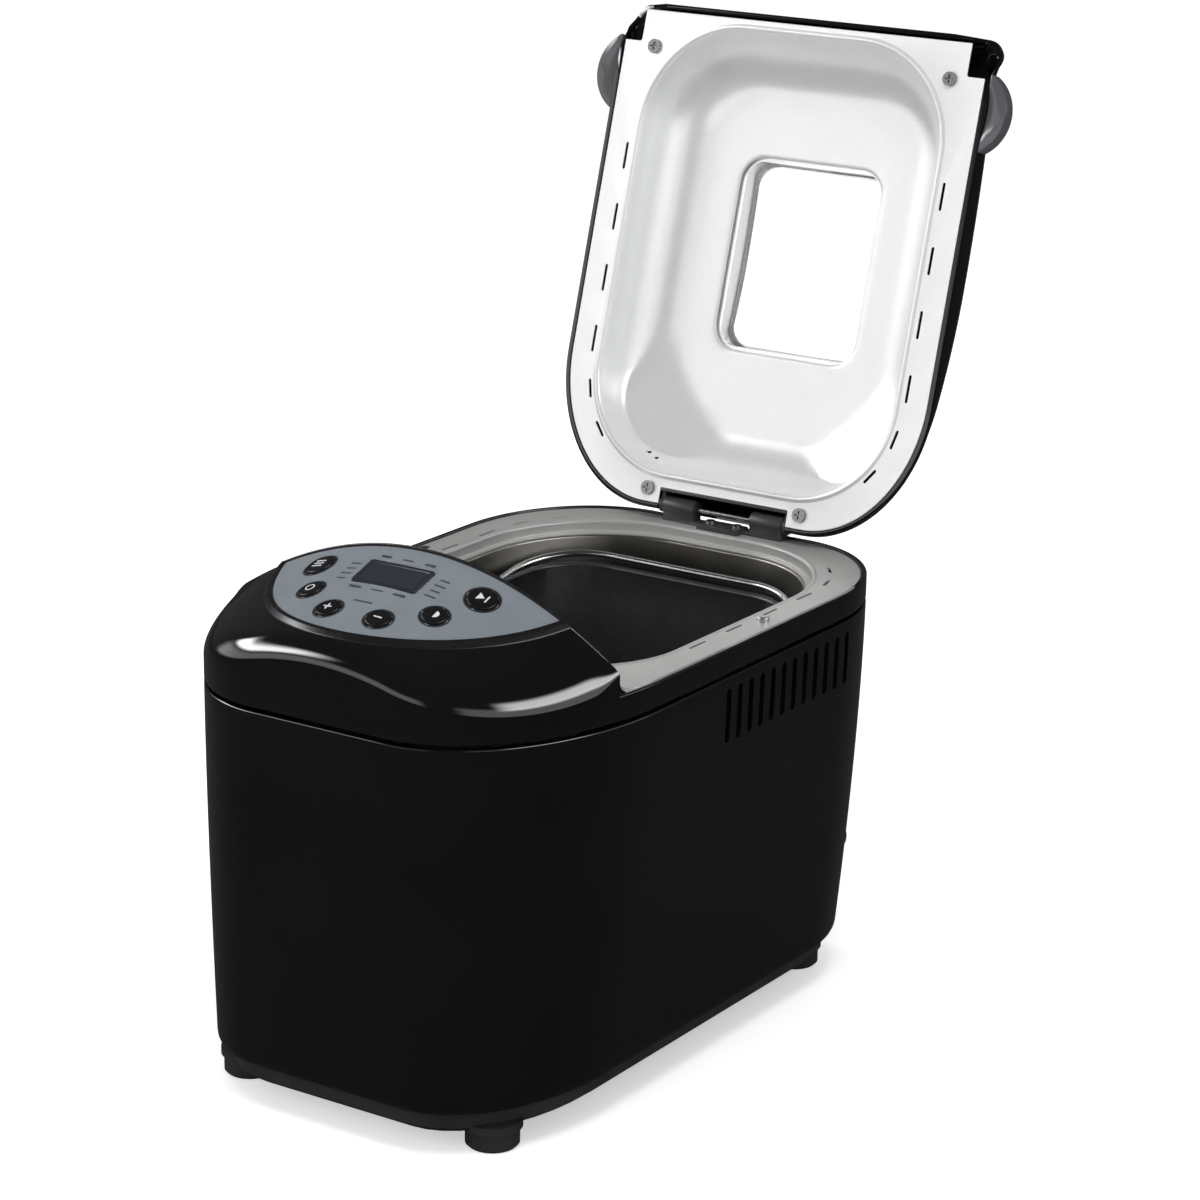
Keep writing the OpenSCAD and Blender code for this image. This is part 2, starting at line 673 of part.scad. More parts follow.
module heater_bushings() {
    color("#e8e4da") for (s = [-1, 1]) translate([s * terminal_x, oven_front, heater_z]) rotate([90, 0, 0])
        difference() {
            union() {
                translate([0, 0, -1.6]) cylinder(r = 5, h = 10, $fn = 40);
                translate([0, 0, -3.2]) cylinder(r = 7.5, h = 2, $fn = 40);
            }
            translate([0, 0, -6]) cylinder(r = heater_r + 0.05, h = 20, $fn = 40);
        }
}

sensor_x = -28;
sensor_z = 110;
module temperature_sensor() {
    color("#c4c6c8") translate([sensor_x, oven_front, sensor_z]) rotate([90, 0, 0]) union() {
        translate([0, 0, -14]) cylinder(r = 3, h = 24, $fn = 32);
        translate([0, 0, -3.2]) cylinder(r = 6, h = 2, $fn = 32);
        translate([0, 0, -1.3]) cylinder(r = 4, h = 3, $fn = 32);
    }
}

// ---- Drive ----

belt_z = 27;
motor_y = front_y + 55;
stator_w = 2 * rotor_r + 24;
frame_t = 3;
socket_r = 46;

module drive_frame() {
    color("#8b8d90") difference() {
        union() {
            translate([-44, -222, frame_z]) cube([88, 274, frame_t]);
            translate([0, oven_y, frame_z]) cylinder(r = 14, h = oven_z - frame_z - fit, $fn = 64);
            for (a = [45:90:315]) translate([0, oven_y, frame_z]) rotate(a) translate([36, 0, 0])
                cylinder(r = 5, h = oven_z - frame_z, $fn = 32);
        }
        translate([0, oven_y, frame_z - 1]) cylinder(r = shaft_r + 3, h = 30, $fn = 64);
        translate([0, motor_y, frame_z - 1]) cylinder(r = 12, h = 10, $fn = 48);
        for (x = [-post_x, post_x], y = post_y)
            translate([x, y, frame_z - 1]) cylinder(r = 2, h = 6, $fn = 24);
        for (s = [-1, 1]) translate([s * 22 - 9, -138, frame_z - 1]) cube([18, 80, 6]);
    }
}

module frame_screws() {
    color("#b9bbbe") for (x = [-post_x, post_x], y = post_y)
        translate([x, y, frame_z + frame_t]) screw(4, 1.7, frame_t + 6);
}

module shaft_bushes() {
    color("#b08d57") for (z = [frame_z, oven_z - 8]) translate([0, oven_y, z])
        tube(shaft_r + 3 - 0.02, shaft_r + run_gap, z > frame_z ? 7.6 : 7);
}

module drive_shaft() {
    color("#c8cacd") translate([0, oven_y, belt_z - 4])
        cylinder(r = shaft_r, h = coupling_z + 5.9 - belt_z, $fn = 64);
}

module shaft_clip() {
    color("#2e2e30") translate([0, oven_y, belt_z - 3]) tube(shaft_r + 3, shaft_r + 0.01, 1.2);
}

// Pulley with a flat groove, two flanges and spokes
module large_pulley() {
    r = large_pulley_r;
    color("#dcdcd6") translate([0, oven_y, belt_z]) difference() {
        union() {
            tube(r, r - 5, belt_w + 4);
            for (z = [0, belt_w + 2.6]) translate([0, 0, z]) tube(r + 3, r - 5, 1.4);
            cylinder(r = shaft_r + 6, h = belt_w + 8, $fn = 64);
            for (a = [0:60:300]) rotate(a)
                translate([shaft_r + 4, -2, 0]) cube([r - shaft_r - 7, 4, belt_w + 2]);
            tube(r - 3, shaft_r + 4, 2);
        }
        translate([0, 0, -1]) cylinder(r = shaft_r + 0.01, h = 30, $fn = 64);
    }
}

// Fork that drives the pan's coupling
coupling_z = oven_z + 2;
module drive_coupling() {
    color("#a9abae") translate([0, oven_y, coupling_z]) difference() {
        union() {
            cylinder(r = 17, h = 4, $fn = 64);
            for (s = [-1, 1]) intersection() {
                translate([s > 0 ? 5 : -15, 5.2, 3.9]) cube([10, 9, 7]);
                cylinder(r = 16.5, h = 12, $fn = 64);
            }
            for (s = [-1, 1]) intersection() {
                translate([s > 0 ? 5 : -15, -14.2, 3.9]) cube([10, 9, 7]);
                cylinder(r = 16.5, h = 12, $fn = 64);
            }
        }
        translate([0, 0, -1]) cylinder(r = shaft_r + 0.01, h = 3, $fn = 64);
    }
}

module motor_stator() {
    s = stator_w;
    color("#7f8286") translate([0, motor_y, 62]) difference() {
        translate([-s / 2, -s / 2, 0]) cube([s, s, 30]);
        translate([0, 0, -1]) cylinder(r = rotor_r + 0.5, h = 40, $fn = 64);
        for (a = [45:90:315]) rotate(a) translate([s * 0.62, 0, -1]) cylinder(r = 2.4, h = 40, $fn = 24);
    }
}

module motor_coils() {
    color("#9c5a2c") translate([0, motor_y, 0]) for (z = [56.5, 92.1]) translate([0, 0, z])
        tube(rotor_r + 5.5, rotor_r + 2, 5.4);
}

// End brackets with the rotor's bearings, on four pillars
module motor_brackets() {
    s = stator_w;
    color("#c9cbcd") translate([0, motor_y, 0]) for (z = [frame_z + frame_t, 99]) difference() {
        union() {
            translate([-s / 2, -6, z]) cube([s, 12, 3]);
            translate([0, 0, z]) cylinder(r = 9, h = z > 90 ? 8 : 7, $fn = 48);
            for (a = [-1, 1]) translate([a * (s / 2 - 3), 0, z > 90 ? 92 : z]) translate([-3, -6, 0])
                cube([6, 12, z > 90 ? 10 : 62 - z]);
        }
        translate([0, 0, z - 1]) cylinder(r = 4 + run_gap, h = 12, $fn = 48);
    }
}

module motor_rotor() {
    color("#b4b6b8") translate([0, motor_y, 0]) union() {
        translate([0, 0, belt_z - 2]) cylinder(r = 4, h = 112 - belt_z, $fn = 48);
        translate([0, 0, 60]) cylinder(r = rotor_r, h = 34, $fn = 64);
    }
}

module motor_pulley() {
    r = small_pulley_r;
    color("#d8d8d2") translate([0, motor_y, belt_z]) difference() {
        union() {
            cylinder(r = r, h = belt_w + 4, $fn = 48);
            for (z = [0, belt_w + 2.6]) translate([0, 0, z]) cylinder(r = r + 3, h = 1.4, $fn = 48);
        }
        translate([0, 0, -1]) cylinder(r = 4.01, h = 20, $fn = 48);
    }
}

// Flat belt round both pulleys: two arcs joined by their common tangents
module drive_belt() {
    d = oven_y - motor_y;
    function side(big, small) = acos((big - small) / d);
    module outline(o) {
        big = large_pulley_r + seat + o;
        small = small_pulley_r + seat + o;
        t = side(big, small);
        translate([0, oven_y]) circle(big, $fn = 128);
        translate([0, motor_y]) circle(small, $fn = 64);
        polygon([for (s = [-1, 1]) each [[s * big * sin(t), oven_y - big * cos(t)],
            [s * small * sin(t), motor_y - small * cos(t)]]
            ], [[0, 1, 3, 2]]);
    }
    color("#1d1d1f") translate([0, 0, belt_z + 2]) linear_extrude(belt_w) difference() {
        outline(1.8);
        outline(0);
    }
}

// ---- Pan ----

pan_z = oven_z + 16;
pan_top = pan_z + pan_h;

// Plan of the pan at a share t of its height, drawn in by d
function pan_plan(t, d) = let (g = pan_taper * (1 - t) + d, c = max(pan_corner - d, 6))
    plan(pan_w / 2 - g, oven_y - pan_len / 2 + g, oven_y + pan_len / 2 - g, c, c, c, c, 6, 3);

module bread_pan() {
    rb = 14;
    outer = concat([for (a = [0:22.5:90]) level(pan_plan(0, rb * (1 - sin(a))), pan_z + rb * (1 - cos(a)))],
        [level(pan_plan(1, 2.2), pan_top - 4), level(pan_plan(1, 0.4), pan_top - 3),
        level(pan_plan(1, 0), pan_top - 1.5), level(pan_plan(1, 0.6), pan_top)]);
    ri = rb - pan_t;
    inner = concat([for (a = [0:22.5:90])
            level(pan_plan(0, pan_t + ri * (1 - sin(a))), pan_z + pan_t + ri * (1 - cos(a)))],
        [level(pan_plan(1, pan_t + 2.2), pan_top)]);
    color("#3d3d40") difference() {
        skin(concat(outer, reverse(inner)));
        translate([0, oven_y, pan_z - 1]) cylinder(r = bush_r, h = 6, $fn = 64);
    }
}

bush_r = 9;
base_r = socket_r - 1;
module pan_base() {
    color("#8c8e91") translate([0, oven_y, oven_z + oven_t + seat]) difference() {
        cylinder(r = base_r, h = pan_z - oven_z - oven_t - seat, $fn = 96);
        translate([0, 0, -1]) cylinder(r = base_r - 4, h = pan_z - oven_z - oven_t - 2, $fn = 96);
        cylinder(r = bush_r - 1, h = 30, $fn = 64);
        for (s = [-1, 1]) translate([s * base_r, 0, 4]) cube([6, 12, 3], center = true);
    }
}

module pan_bush() {
    color("#b08d57") translate([0, oven_y, pan_z - 3]) difference() {
        union() {
            cylinder(r = bush_r - 1.02, h = 12, $fn = 64);
            translate([0, 0, 3 + pan_t]) cylinder(r = bush_r + 2, h = 1.5, $fn = 64);
        }
        translate([0, 0, -1]) cylinder(r = paddle_shaft_r + run_gap, h = 20, $fn = 64);
        translate([0, 0, 9]) cylinder(r = paddle_shaft_r + 2.2, h = 6, $fn = 64);
    }
}

module pan_seal() {
    color("#7a1f1a") translate([0, oven_y, pan_z + 6.02])
        tube(paddle_shaft_r + 2.1, paddle_shaft_r + run_gap, 2.9);
}

module pan_shaft() {
    color("#d0d2d4") translate([0, oven_y, pan_z - 8]) difference() {
        cylinder(r = paddle_shaft_r, h = 36, $fn = 64);
        translate([paddle_shaft_r - 1.2, -10, 20]) cube([10, 20, 20]);
    }
}

module pan_coupling() {
    color("#9b9da0") translate([0, oven_y, pan_z - 9]) difference() {
        union() {
            cylinder(r = 7, h = 5, $fn = 48);
            translate([-14, -4, 0]) cube([28, 8, 4.4]);
        }
        translate([0, 0, 1]) cylinder(r = paddle_shaft_r + 0.01, h = 10, $fn = 64);
    }
}

// Round socket on the oven's floor that the pan's base drops into
module pan_socket() {
    color("#7d7f83") translate([0, oven_y, oven_z + oven_t]) difference() {
        union() {
            tube(socket_r + 4, socket_r - 0.6, 7);
            tube(socket_r + 12, socket_r + 3, 1.6);
        }
        for (a = [0, 180]) rotate(a) translate([socket_r + 2, 0, 5]) cube([12, 15, 6], center = true);
    }
}

// Sprung clips that hold the pan's base in its socket
module pan_clips() {
    color("#c2c4c6") for (a = [0, 180]) translate([0, oven_y, oven_z + oven_t + 2.1]) rotate(a)
        translate([socket_r + 0.1, -6, 0]) union() {
            cube([1, 12, 9]);
            translate([0.9, 0, 0]) cube([9, 12, 0.9]);
        }
}

// Bail pivots: two ears riveted to the pan's sides
bail_z = pan_top - 10;
ear_x = pan_w / 2 - 2.1;
arm_x = ear_x + 6.2;
module bail_ears() {
    color("#9fa1a4") for (s = [-1, 1]) translate([s * (ear_x + 1.2), oven_y, bail_z]) difference() {
        rotate([0, 90, 0]) union() {
            cylinder(r = 6, h = 2.4, center = true, $fn = 48);
            translate([5, 0, 0]) cube([14, 12, 2.4], center = true);
        }
        rotate([0, 90, 0]) cylinder(r = bail_r + run_gap, h = 8, center = true, $fn = 48);
    }
}

// Wire bail: two arms, two bends and a crossbar. Folded back, its bends rest on the pan's rim.
bail_len = pan_len / 2 - 2;
bail_bend = 38;
bail_tilt = asin((pan_top - bail_z + bail_r + seat) / (bail_len - bail_bend / 2));
module bail_handle() {
    module rod(p, rot, l) translate(p) rotate(rot) cylinder(r = bail_r, h = l, $fn = 32);
    color("#d4d6d8") translate([0, oven_y, bail_z]) rotate([bail_tilt, 0, 0]) {
        for (s = [-1, 1]) {
            rod([s * arm_x, 0, 0], [-90, 0, 0], bail_len - bail_bend);
            rod([s * (ear_x + 0.3), 0, 0], [0, s * 90, 0], arm_x - ear_x - 0.3);
            translate([s * arm_x, 0, 0]) sphere(r = bail_r, $fn = 32);
            translate([s * (arm_x - bail_bend), bail_len - bail_bend, 0]) rotate(s > 0 ? 0 : 90)
                rotate_extrude(angle = 90, $fn = 96) translate([bail_bend, 0]) circle(bail_r, $fn = 32);
        }
        rod([bail_bend - arm_x, bail_len, 0], [0, 90, 0], 2 * (arm_x - bail_bend));
    }
}

// Kneading paddle: a hub with a flat-sided bore and one leaning blade
module kneading_paddle() {
    hub_r = 11;
    z = pan_z + 12.3;
    color("#47474a") translate([0, oven_y, z]) difference() {
        union() {
            cylinder(r1 = hub_r, r2 = hub_r - 2.5, h = 17, $fn = 48);
            hull() {
                translate([0, 0, 0]) cylinder(r = 4, h = blade_h, $fn = 32);
                translate([blade_len - 4, 0, 0]) cylinder(r = 2.2, h = blade_h * 0.55, $fn = 32);
            }
        }
        difference() {
            translate([0, 0, -1]) cylinder(r = paddle_shaft_r + run_gap, h = 17, $fn = 64);
            translate([paddle_shaft_r - 1.2 + run_gap, -10, -2]) cube([10, 20, 30]);
        }
    }
}

// ---- Lid: drawn closed about the hinge axis, then opened ----

module lid_frame() {
    translate([0, hinge_y, hinge_z]) rotate([-open_angle, 0, 0]) children();
}
rim = -hinge_rise + lid_gap;    // height of the liner's face from the hinge axis
lid_half = lid_w / 2;
lid_rear = 3.2;
lid_top = function (x, y) dome_rise - (y < -142 ? 0.0006 : 0.0017) * pow(y + 142, 2)
    - crown_fall * pow(x / 100, 2);
lid_lower = function (x, y) lid_top(x, y) - lid_t;
lid_lower_gap = function (x, y) lid_lower(x, y) - 0.25;

// Plan of the lid, drawn in by d
function lid_plan(d, n = 10, cuts = 8) = plan(lid_half - d, -lid_len + d, lid_rear - d,
    10, 14, 66 - d, 80 - d, n, cuts);

window_y = -145;
yc_lid = (lid_rear - lid_len) / 2;
function lid_rings(d, z0, top, r, least) =
    crown(lid_plan(d), lid_half - d, d - lid_len, lid_rear - d, z0, top, r, r, least);
lid_least = 5;     // lowest height of the dome over its edge, at the rear corners

// The dome as one wall of even thickness, open below
module dome() {
    skin(concat(reverse(lid_rings(lid_t, rim, lid_lower, 6, lid_least - lid_t)),
        lid_rings(0, rim, lid_top, 8, lid_least)),
        foot = [0, yc_lid, lid_lower(0, yc_lid)], head = [0, yc_lid, lid_top(0, yc_lid)]);
}

module lid_shell() {
    color("#0b0b0d") lid_frame() difference() {
        dome();
        translate([0, 0, 20]) linear_extrude(60) round_rect(window_w - 6, window_len - 6, 12, window_y);
        translate([-hinge_w / 2, -12, rim - 1]) cube([hinge_w, 20, 15]);
        for (s = [-1, 1]) translate([s * (lid_half - 7.5), 0, 0]) corner_cut();
    }
}

// Wedge that lifts the lower edge at the lid's front corners
module corner_cut() {
    translate([-9, 0, 0]) rotate([90, 0, 90]) linear_extrude(18)
        polygon([[-lid_len + 21, rim - 1], [-lid_len + 21, rim], [-lid_len + 12, rim + 8],
            [-lid_len - 1, rim + 12], [-lid_len - 1, rim - 1]]);
}

liner_half = lid_half - 3;
module liner_outline() {
    difference() {
        polygon(plan(liner_half, -lid_len + 4, lid_rear - lid_t - 0.4, 10, 10, 63, 77, 10, 2));
        for (s = [-1, 1]) translate([s * (liner_half + 2), -lid_len + 10]) square([26, 24], center = true);
        translate([-hinge_w / 2, -9]) square([hinge_w, 20]);
    }
}

// Plan of the bowl's mouth, drawn in by d
function bowl_plan(d) = plan(93.4 - d, -263.5 + d, -17.5 - d, 56 - d, 56 - d, 54 - d, 54 - d, 6, 4);

// Rings of the bowl, moved out by t: its section is a quarter ellipse from mouth to bottom,
// held under the dome where that is lower
function bowl_rings(t) = let (across = 30 + t, z0 = rim + liner_t / 2, up = bowl_depth + t - liner_t / 2)
    [for (a = [0:15:90]) [for (p = bowl_plan(across * (1 - cos(a)) - t))
        [p.x, p.y, min(z0 + up * sin(a), lid_lower(p.x, p.y) - 1 - liner_t + t)]]];

module lid_liner() {
    color("#d9dadb") lid_frame() difference() {
        union() {
            translate([0, 0, rim]) linear_extrude(liner_t) difference() {
                liner_outline();
                edge_slots();
                for (p = screw_xy) translate(p) circle(2, $fn = 24);
            }
            skin(bowl_rings(liner_t));
        }
        skin(concat([level(bowl_plan(0), rim - 1)], bowl_rings(0)));
        translate([0, 0, rim + 10]) linear_extrude(60) round_rect(window_w, window_len, 14, window_y);
    }
}
screw_xy = [[-93.2, -249.8], [93.2, -249.8], [-48.7, -7.4], [48.7, -7.4]];

module lid_screws() {
    color("#c6c8ca") lid_frame() for (p = screw_xy) translate([p.x, p.y, rim - 0.02]) rotate([180, 0, 0])
        screw(3.9, 1.8, 6);
}

module lid_grips() {
    r = 24;
    cx = lid_half - 11.5;
    color("#3c3d41") lid_frame() for (s = [-1, 1]) difference() {
        translate([s * cx, -234, rim]) cylinder(r = r, h = 9, $fn = 96);
        translate([s > 0 ? -300 + lid_half + 0.02 : -lid_half - 0.02, -300, rim - 1]) cube([300, 200, 20]);
        translate([s * (cx - 3), -234, rim - 32]) sphere(r = 38, $fn = 96);
    }
}

window_top = rim + bowl_depth;
module window_frame() {
    z = window_top + liner_t + 0.05;
    color("#b9babc") lid_frame() intersection() {
        translate([0, 0, z]) difference() {
            linear_extrude(40) round_rect(window_w + 12, window_len + 12, 16, window_y);
            translate([0, 0, -1]) linear_extrude(60) round_rect(window_w - 4, window_len - 4, 10, window_y);
            translate([0, 0, -1]) linear_extrude(1 + glass_t)
                round_rect(window_w + 8, window_len + 8, 12, window_y);
        }
        skin(lid_rings(lid_t + 0.25, rim, lid_lower_gap, 6, lid_least - lid_t - 0.25),
            head = [0, yc_lid, lid_lower_gap(0, yc_lid)]);
    }
}
glass_t = 3;
module inner_window() {
    color("#e6eef0", 0.4) lid_frame() translate([0, 0, window_top + liner_t + 0.1])
        linear_extrude(glass_t - 0.1) round_rect(window_w + 7.6, window_len + 7.6, 11.8, window_y);
}

module outer_window() {
    color("#dfe7ea", 0.4) lid_frame() intersection() {
        translate([0, 0, 20]) linear_extrude(60)
            round_rect(window_w - 6.4, window_len - 6.4, 11.8, window_y);
        dome();
    }
}

// ---- Hinge ----

knuckle_in = 18;
knuckle_out = 38;
bracket_t = 2.9;
module hinge_bracket() {
    color("#6c6f74") translate([0, hinge_y, hinge_z]) difference() {
        union() {
            for (s = [-1, 1]) translate([s > 0 ? knuckle_in : -knuckle_out, 0, 0]) {
                rotate([0, 90, 0]) cylinder(r = knuckle_r, h = knuckle_out - knuckle_in, $fn = 64);
                translate([0, -4, -hinge_rise]) cube([knuckle_out - knuckle_in, 7.5, hinge_rise]);
            }
            translate([-knuckle_out, -4, -hinge_rise]) cube([2 * knuckle_out, 7, 2]);
            translate([-13, -9, -hinge_rise]) cube([26, 12, bracket_t]);
        }
        translate([-50, 0, 0]) rotate([0, 90, 0]) cylinder(r = pin_r + run_gap, h = 100, $fn = 48);
        translate([-4, -6.5, -hinge_rise + 1.6]) cube([8, 1.6, 5]);
        for (s = [-1, 1]) translate([s * 8.5, -1.5, -hinge_rise - 1]) cylinder(r = 1.6, h = 8, $fn = 24);
    }
}

module hinge_screws() {
    color("#a6a8ab") for (s = [-1, 1])
        translate([s * 8.5, hinge_y - 1.5, deck_z + bracket_t]) screw(2.6, 1.4, bracket_t - 0.1);
}

module hinge_frame() {
    w = hinge_w / 2;
    color("#6c6f74") lid_frame() difference() {
        union() {
            translate([-w + 0.1, -9, rim + 0.1]) cube([2 * w - 0.2, 2, 10]);
            for (s = [-1, 1]) translate([s > 0 ? w - 2.6 : -w + 0.1, 0, 0]) {
                rotate([0, 90, 0]) cylinder(r = 4.4, h = 2.5, $fn = 48);
                translate([0, -8, -2.4]) cube([2.5, 8, 8]);
            }
        }
        translate([-50, 0, 0]) rotate([0, 90, 0]) cylinder(r = pin_r + 0.01, h = 100, $fn = 48);
    }
}

module hinge_pin() {
    color("#e2e3e4") lid_frame() translate([-hinge_w / 2 + 0.4, 0, 0]) rotate([0, 90, 0])
        cylinder(r = pin_r, h = hinge_w - 0.8, $fn = 48);
}

lower_shell();
base_plate();
rubber_feet();
base_screws();
cord_gland();
top_cover();
control_panel();
display_window();
display_module();
circuit_board();
power_board();
button_program();
button_weight();
button_plus();
button_minus();
button_colour();
button_start();
deck_flange();
lid_bumpers();
oven_chamber();
heat_shield();
heating_element();
heater_bushings();
temperature_sensor();
pan_socket();
pan_clips();
drive_frame();
frame_screws();
shaft_bushes();
motor_stator();
motor_coils();
motor_brackets();
drive_belt();
hinge_bracket();
hinge_screws();
lid_shell();
lid_liner();
lid_grips();
window_frame();
outer_window();
inner_window();
lid_screws();
hinge_frame();
hinge_pin();
drive_shaft();
large_pulley();
drive_coupling();
shaft_clip();
motor_rotor();
motor_pulley();
bread_pan();
pan_base();
pan_bush();
pan_seal();
bail_ears();
bail_handle();
pan_shaft();
pan_coupling();
kneading_paddle();
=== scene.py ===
import math

import bmesh
import bpy
import numpy as np
from bpy.props import FloatProperty, FloatVectorProperty, PointerProperty
from mathutils import Matrix, Vector


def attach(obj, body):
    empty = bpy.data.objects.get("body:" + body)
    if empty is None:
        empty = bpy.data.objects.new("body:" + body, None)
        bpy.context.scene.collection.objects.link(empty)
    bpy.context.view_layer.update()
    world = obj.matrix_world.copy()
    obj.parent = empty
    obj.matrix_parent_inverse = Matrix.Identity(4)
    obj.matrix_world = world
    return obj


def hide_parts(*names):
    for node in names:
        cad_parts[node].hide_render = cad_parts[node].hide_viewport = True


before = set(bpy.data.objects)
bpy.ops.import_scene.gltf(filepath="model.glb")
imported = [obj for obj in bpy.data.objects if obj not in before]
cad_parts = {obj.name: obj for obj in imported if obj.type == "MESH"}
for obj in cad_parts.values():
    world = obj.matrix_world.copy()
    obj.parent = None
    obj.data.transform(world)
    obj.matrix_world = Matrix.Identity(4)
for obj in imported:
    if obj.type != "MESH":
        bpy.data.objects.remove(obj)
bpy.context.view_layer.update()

bl_info = {
    "name": "Bread machine",
    "version": (1, 0, 0),
    "blender": (4, 5, 0),
    "location": "View3D > Sidebar > Bread machine",
    "description": "Dresses the bread machine's frame with smooth housings, lid, pan, panel and finishes",
    "category": "Object",
}

MM = 0.001
SHARP_ANGLE = 32

# Housing, in millimetres
HALF_W = 118.0
FRONT_Y, REAR_Y = -241.0, 132.0
SHELL_Z, SEAM_Z, COVER_Z, DECK_Z, RIM_Z = 22.0, 210.0, 212.0, 224.0, 225.0
HOOD_BACK, DECK_FRONT = -155.0, -143.0
SIDE_TAPER, FRONT_TAPER, REAR_TAPER = 13.0, 4.0, 5.0
FRONT_A, FRONT_B, REAR_A, REAR_B = 78.0, 116.0, 68.0, 82.0
SHELL_T = 3.4
VENTS, VENT_Y, VENT_STEP, VENT_LOW, VENT_HIGH, VENT_W = 12, 57.0, 10.6, 175.2, 203.8, 4.4
GLAND = (70.0, 131.0, 60.0)

# Hood and panel
HOOD_RISE, HOOD_SLOPE, CROWN = 53.0, 0.345, 0.003
PANEL_Y, PANEL_LEN, PANEL_A, PANEL_B = -158.0, 68.0, 84 * 1.098, 121.5
TILT = math.atan(HOOD_SLOPE)
BUTTONS = [
    ("program", -48.5, PANEL_Y - 15.5, 7.6),
    ("weight", -36.8, PANEL_Y - 38, 6.3),
    ("plus", -14.8, PANEL_Y - 53, 6.3),
    ("minus", 14.8, PANEL_Y - 53, 6.3),
    ("colour", 36.8, PANEL_Y - 38, 6.3),
    ("start", 48.5, PANEL_Y - 15.5, 7.6),
]
DISPLAY = (0.0, PANEL_Y - 21.5, 38.0, 19.0)

# Oven and pan
OVEN_Y, OPENING_W, OPENING_L = -12.5, 191.0, 249.0
OVEN_Z, OVEN_TOP = 62.0, 217.0
PAN_W, PAN_L, PAN_Z, PAN_TOP, PAN_CORNER, PAN_TAPER = 160.0, 192.0, 78.0, 206.0, 36.0, 7.0

# Lid, closed, about the hinge axis
HINGE = Vector((0.0, 125.0, 232.0))
OPEN_ANGLE = 106.3
LID_HALF, LID_FRONT, LID_REAR, LID_RIM = 116.5, -274.0, 3.2, -5.0
DOME_RISE, LID_T, BOWL_DEPTH, LINER_T = 54.0, 2.6, 35.0, 1.2
WINDOW_Y, WINDOW_W, WINDOW_L = -145.0, 90.0, 108.0
HINGE_W = 82.0
BOWL_VENTS = ((-62.5, -26.5), (-57.0, -24.0))


# ---- Outlines: closed loops of points, counter-clockwise from above ----


def arc(cx, cy, a, b, start, end, n):
    """n points of an ellipse about (cx, cy): (cx + a cos t, cy + b sin t), t from start to end degrees."""
    t = np.radians(np.linspace(start, end, n))
    return np.stack([cx + a * np.cos(t), cy + b * np.sin(t)], 1)


def resample(loop, n):
    """n points at equal steps of length along a closed loop, from its first point on."""
    closed = np.vstack([loop, loop[:1]])
    run = np.r_[0, np.cumsum(np.linalg.norm(np.diff(closed, axis=0), axis=1))]
    at = np.linspace(0, run[-1], n, endpoint=False)
    return np.stack([np.interp(at, run, closed[:, k]) for k in range(closed.shape[1])], 1)


def plan(w, yf, yr, fa, fb, ra, rb, n=32, side=14):
    """Outline of half-width w between yf and yr: straight sides joined by quarter ellipses.

    Every call gives the same number of points, so outlines at different offsets pair up."""
    gap = np.linspace(0, 1, side + 1)[1:-1, None]

    def straight(p, q):
        return np.array(p) + (np.array(q) - np.array(p)) * gap

    return np.vstack([
        straight((w, 0.5 * (yf + fb + yr - rb)), (w, yr - rb)),
        arc(w - ra, yr - rb, ra, rb, 0, 90, n),
        straight((w - ra, yr), (ra - w, yr)),
        arc(ra - w, yr - rb, ra, rb, 90, 180, n),
        straight((-w, yr - rb), (-w, yf + fb)),
        arc(fa - w, yf + fb, fa, fb, 180, 270, n),
        straight((fa - w, yf), (w - fa, yf)),
        arc(w - fa, yf + fb, fa, fb, 270, 360, n),
        straight((w, yf + fb), (w, 0.5 * (yf + fb + yr - rb))),
    ])


def taper(z):
    """Share of the housing's taper at height z: ((seam - z) / (seam - foot)) to the power 1.6."""
    return max(0.0, (SEAM_Z - z) / (SEAM_Z - SHELL_Z)) ** 1.6


def body_plan(z, d):
    """The housing's outline at height z, drawn in by d."""
    t = taper(z)
    return plan(HALF_W - SIDE_TAPER * t - d, FRONT_Y + FRONT_TAPER * t + d, REAR_Y - REAR_TAPER * t - d,
                FRONT_A - 18 * t - d, FRONT_B - 24 * t - d, REAR_A - 8 * t - d, REAR_B - 8 * t - d)


def deck_plan(d):
    """Outline of the metal deck, drawn in by d."""
    w = HALF_W - 3 - d
    return plan(w, DECK_FRONT + d, REAR_Y - 3 - d, 8, 8, REAR_A - 3 - d, REAR_B - 3 - d)


def oven_plan(d):
    """Outline of the oven's mouth, drawn in by d."""
    return plan(OPENING_W / 2 - d, OVEN_Y - OPENING_L / 2 + d, OVEN_Y + OPENING_L / 2 - d,
                60 - d, 60 - d, 72 - d, 78 - d)


def pan_plan(t, d):
    """Outline of the pan at a share t of its height, drawn in by d."""
    g = PAN_TAPER * (1 - t) + d
    c = max(PAN_CORNER - d, 5.0)
    return plan(PAN_W / 2 - g, OVEN_Y - PAN_L / 2 + g, OVEN_Y + PAN_L / 2 - g, c, c, c, c)


def lid_plan(d):
    """The lid's outline, drawn in by d."""
    return plan(LID_HALF - d, LID_FRONT + d, LID_REAR - d, 10, 14, 66 - d, 80 - d)


def bowl_plan(d):
    """Mouth of the liner's bowl, drawn in by d."""
    return plan(93.4 - d, -263.5 + d, -17.5 - d, 56 - d, 56 - d, 54 - d, 54 - d)


def window_plan(grow, r):
    """The window's rounded rectangle, grown on every side."""
    w, h = WINDOW_W / 2 + grow, WINDOW_L / 2 + grow
    return plan(w, WINDOW_Y - h, WINDOW_Y + h, r, r, r, r)


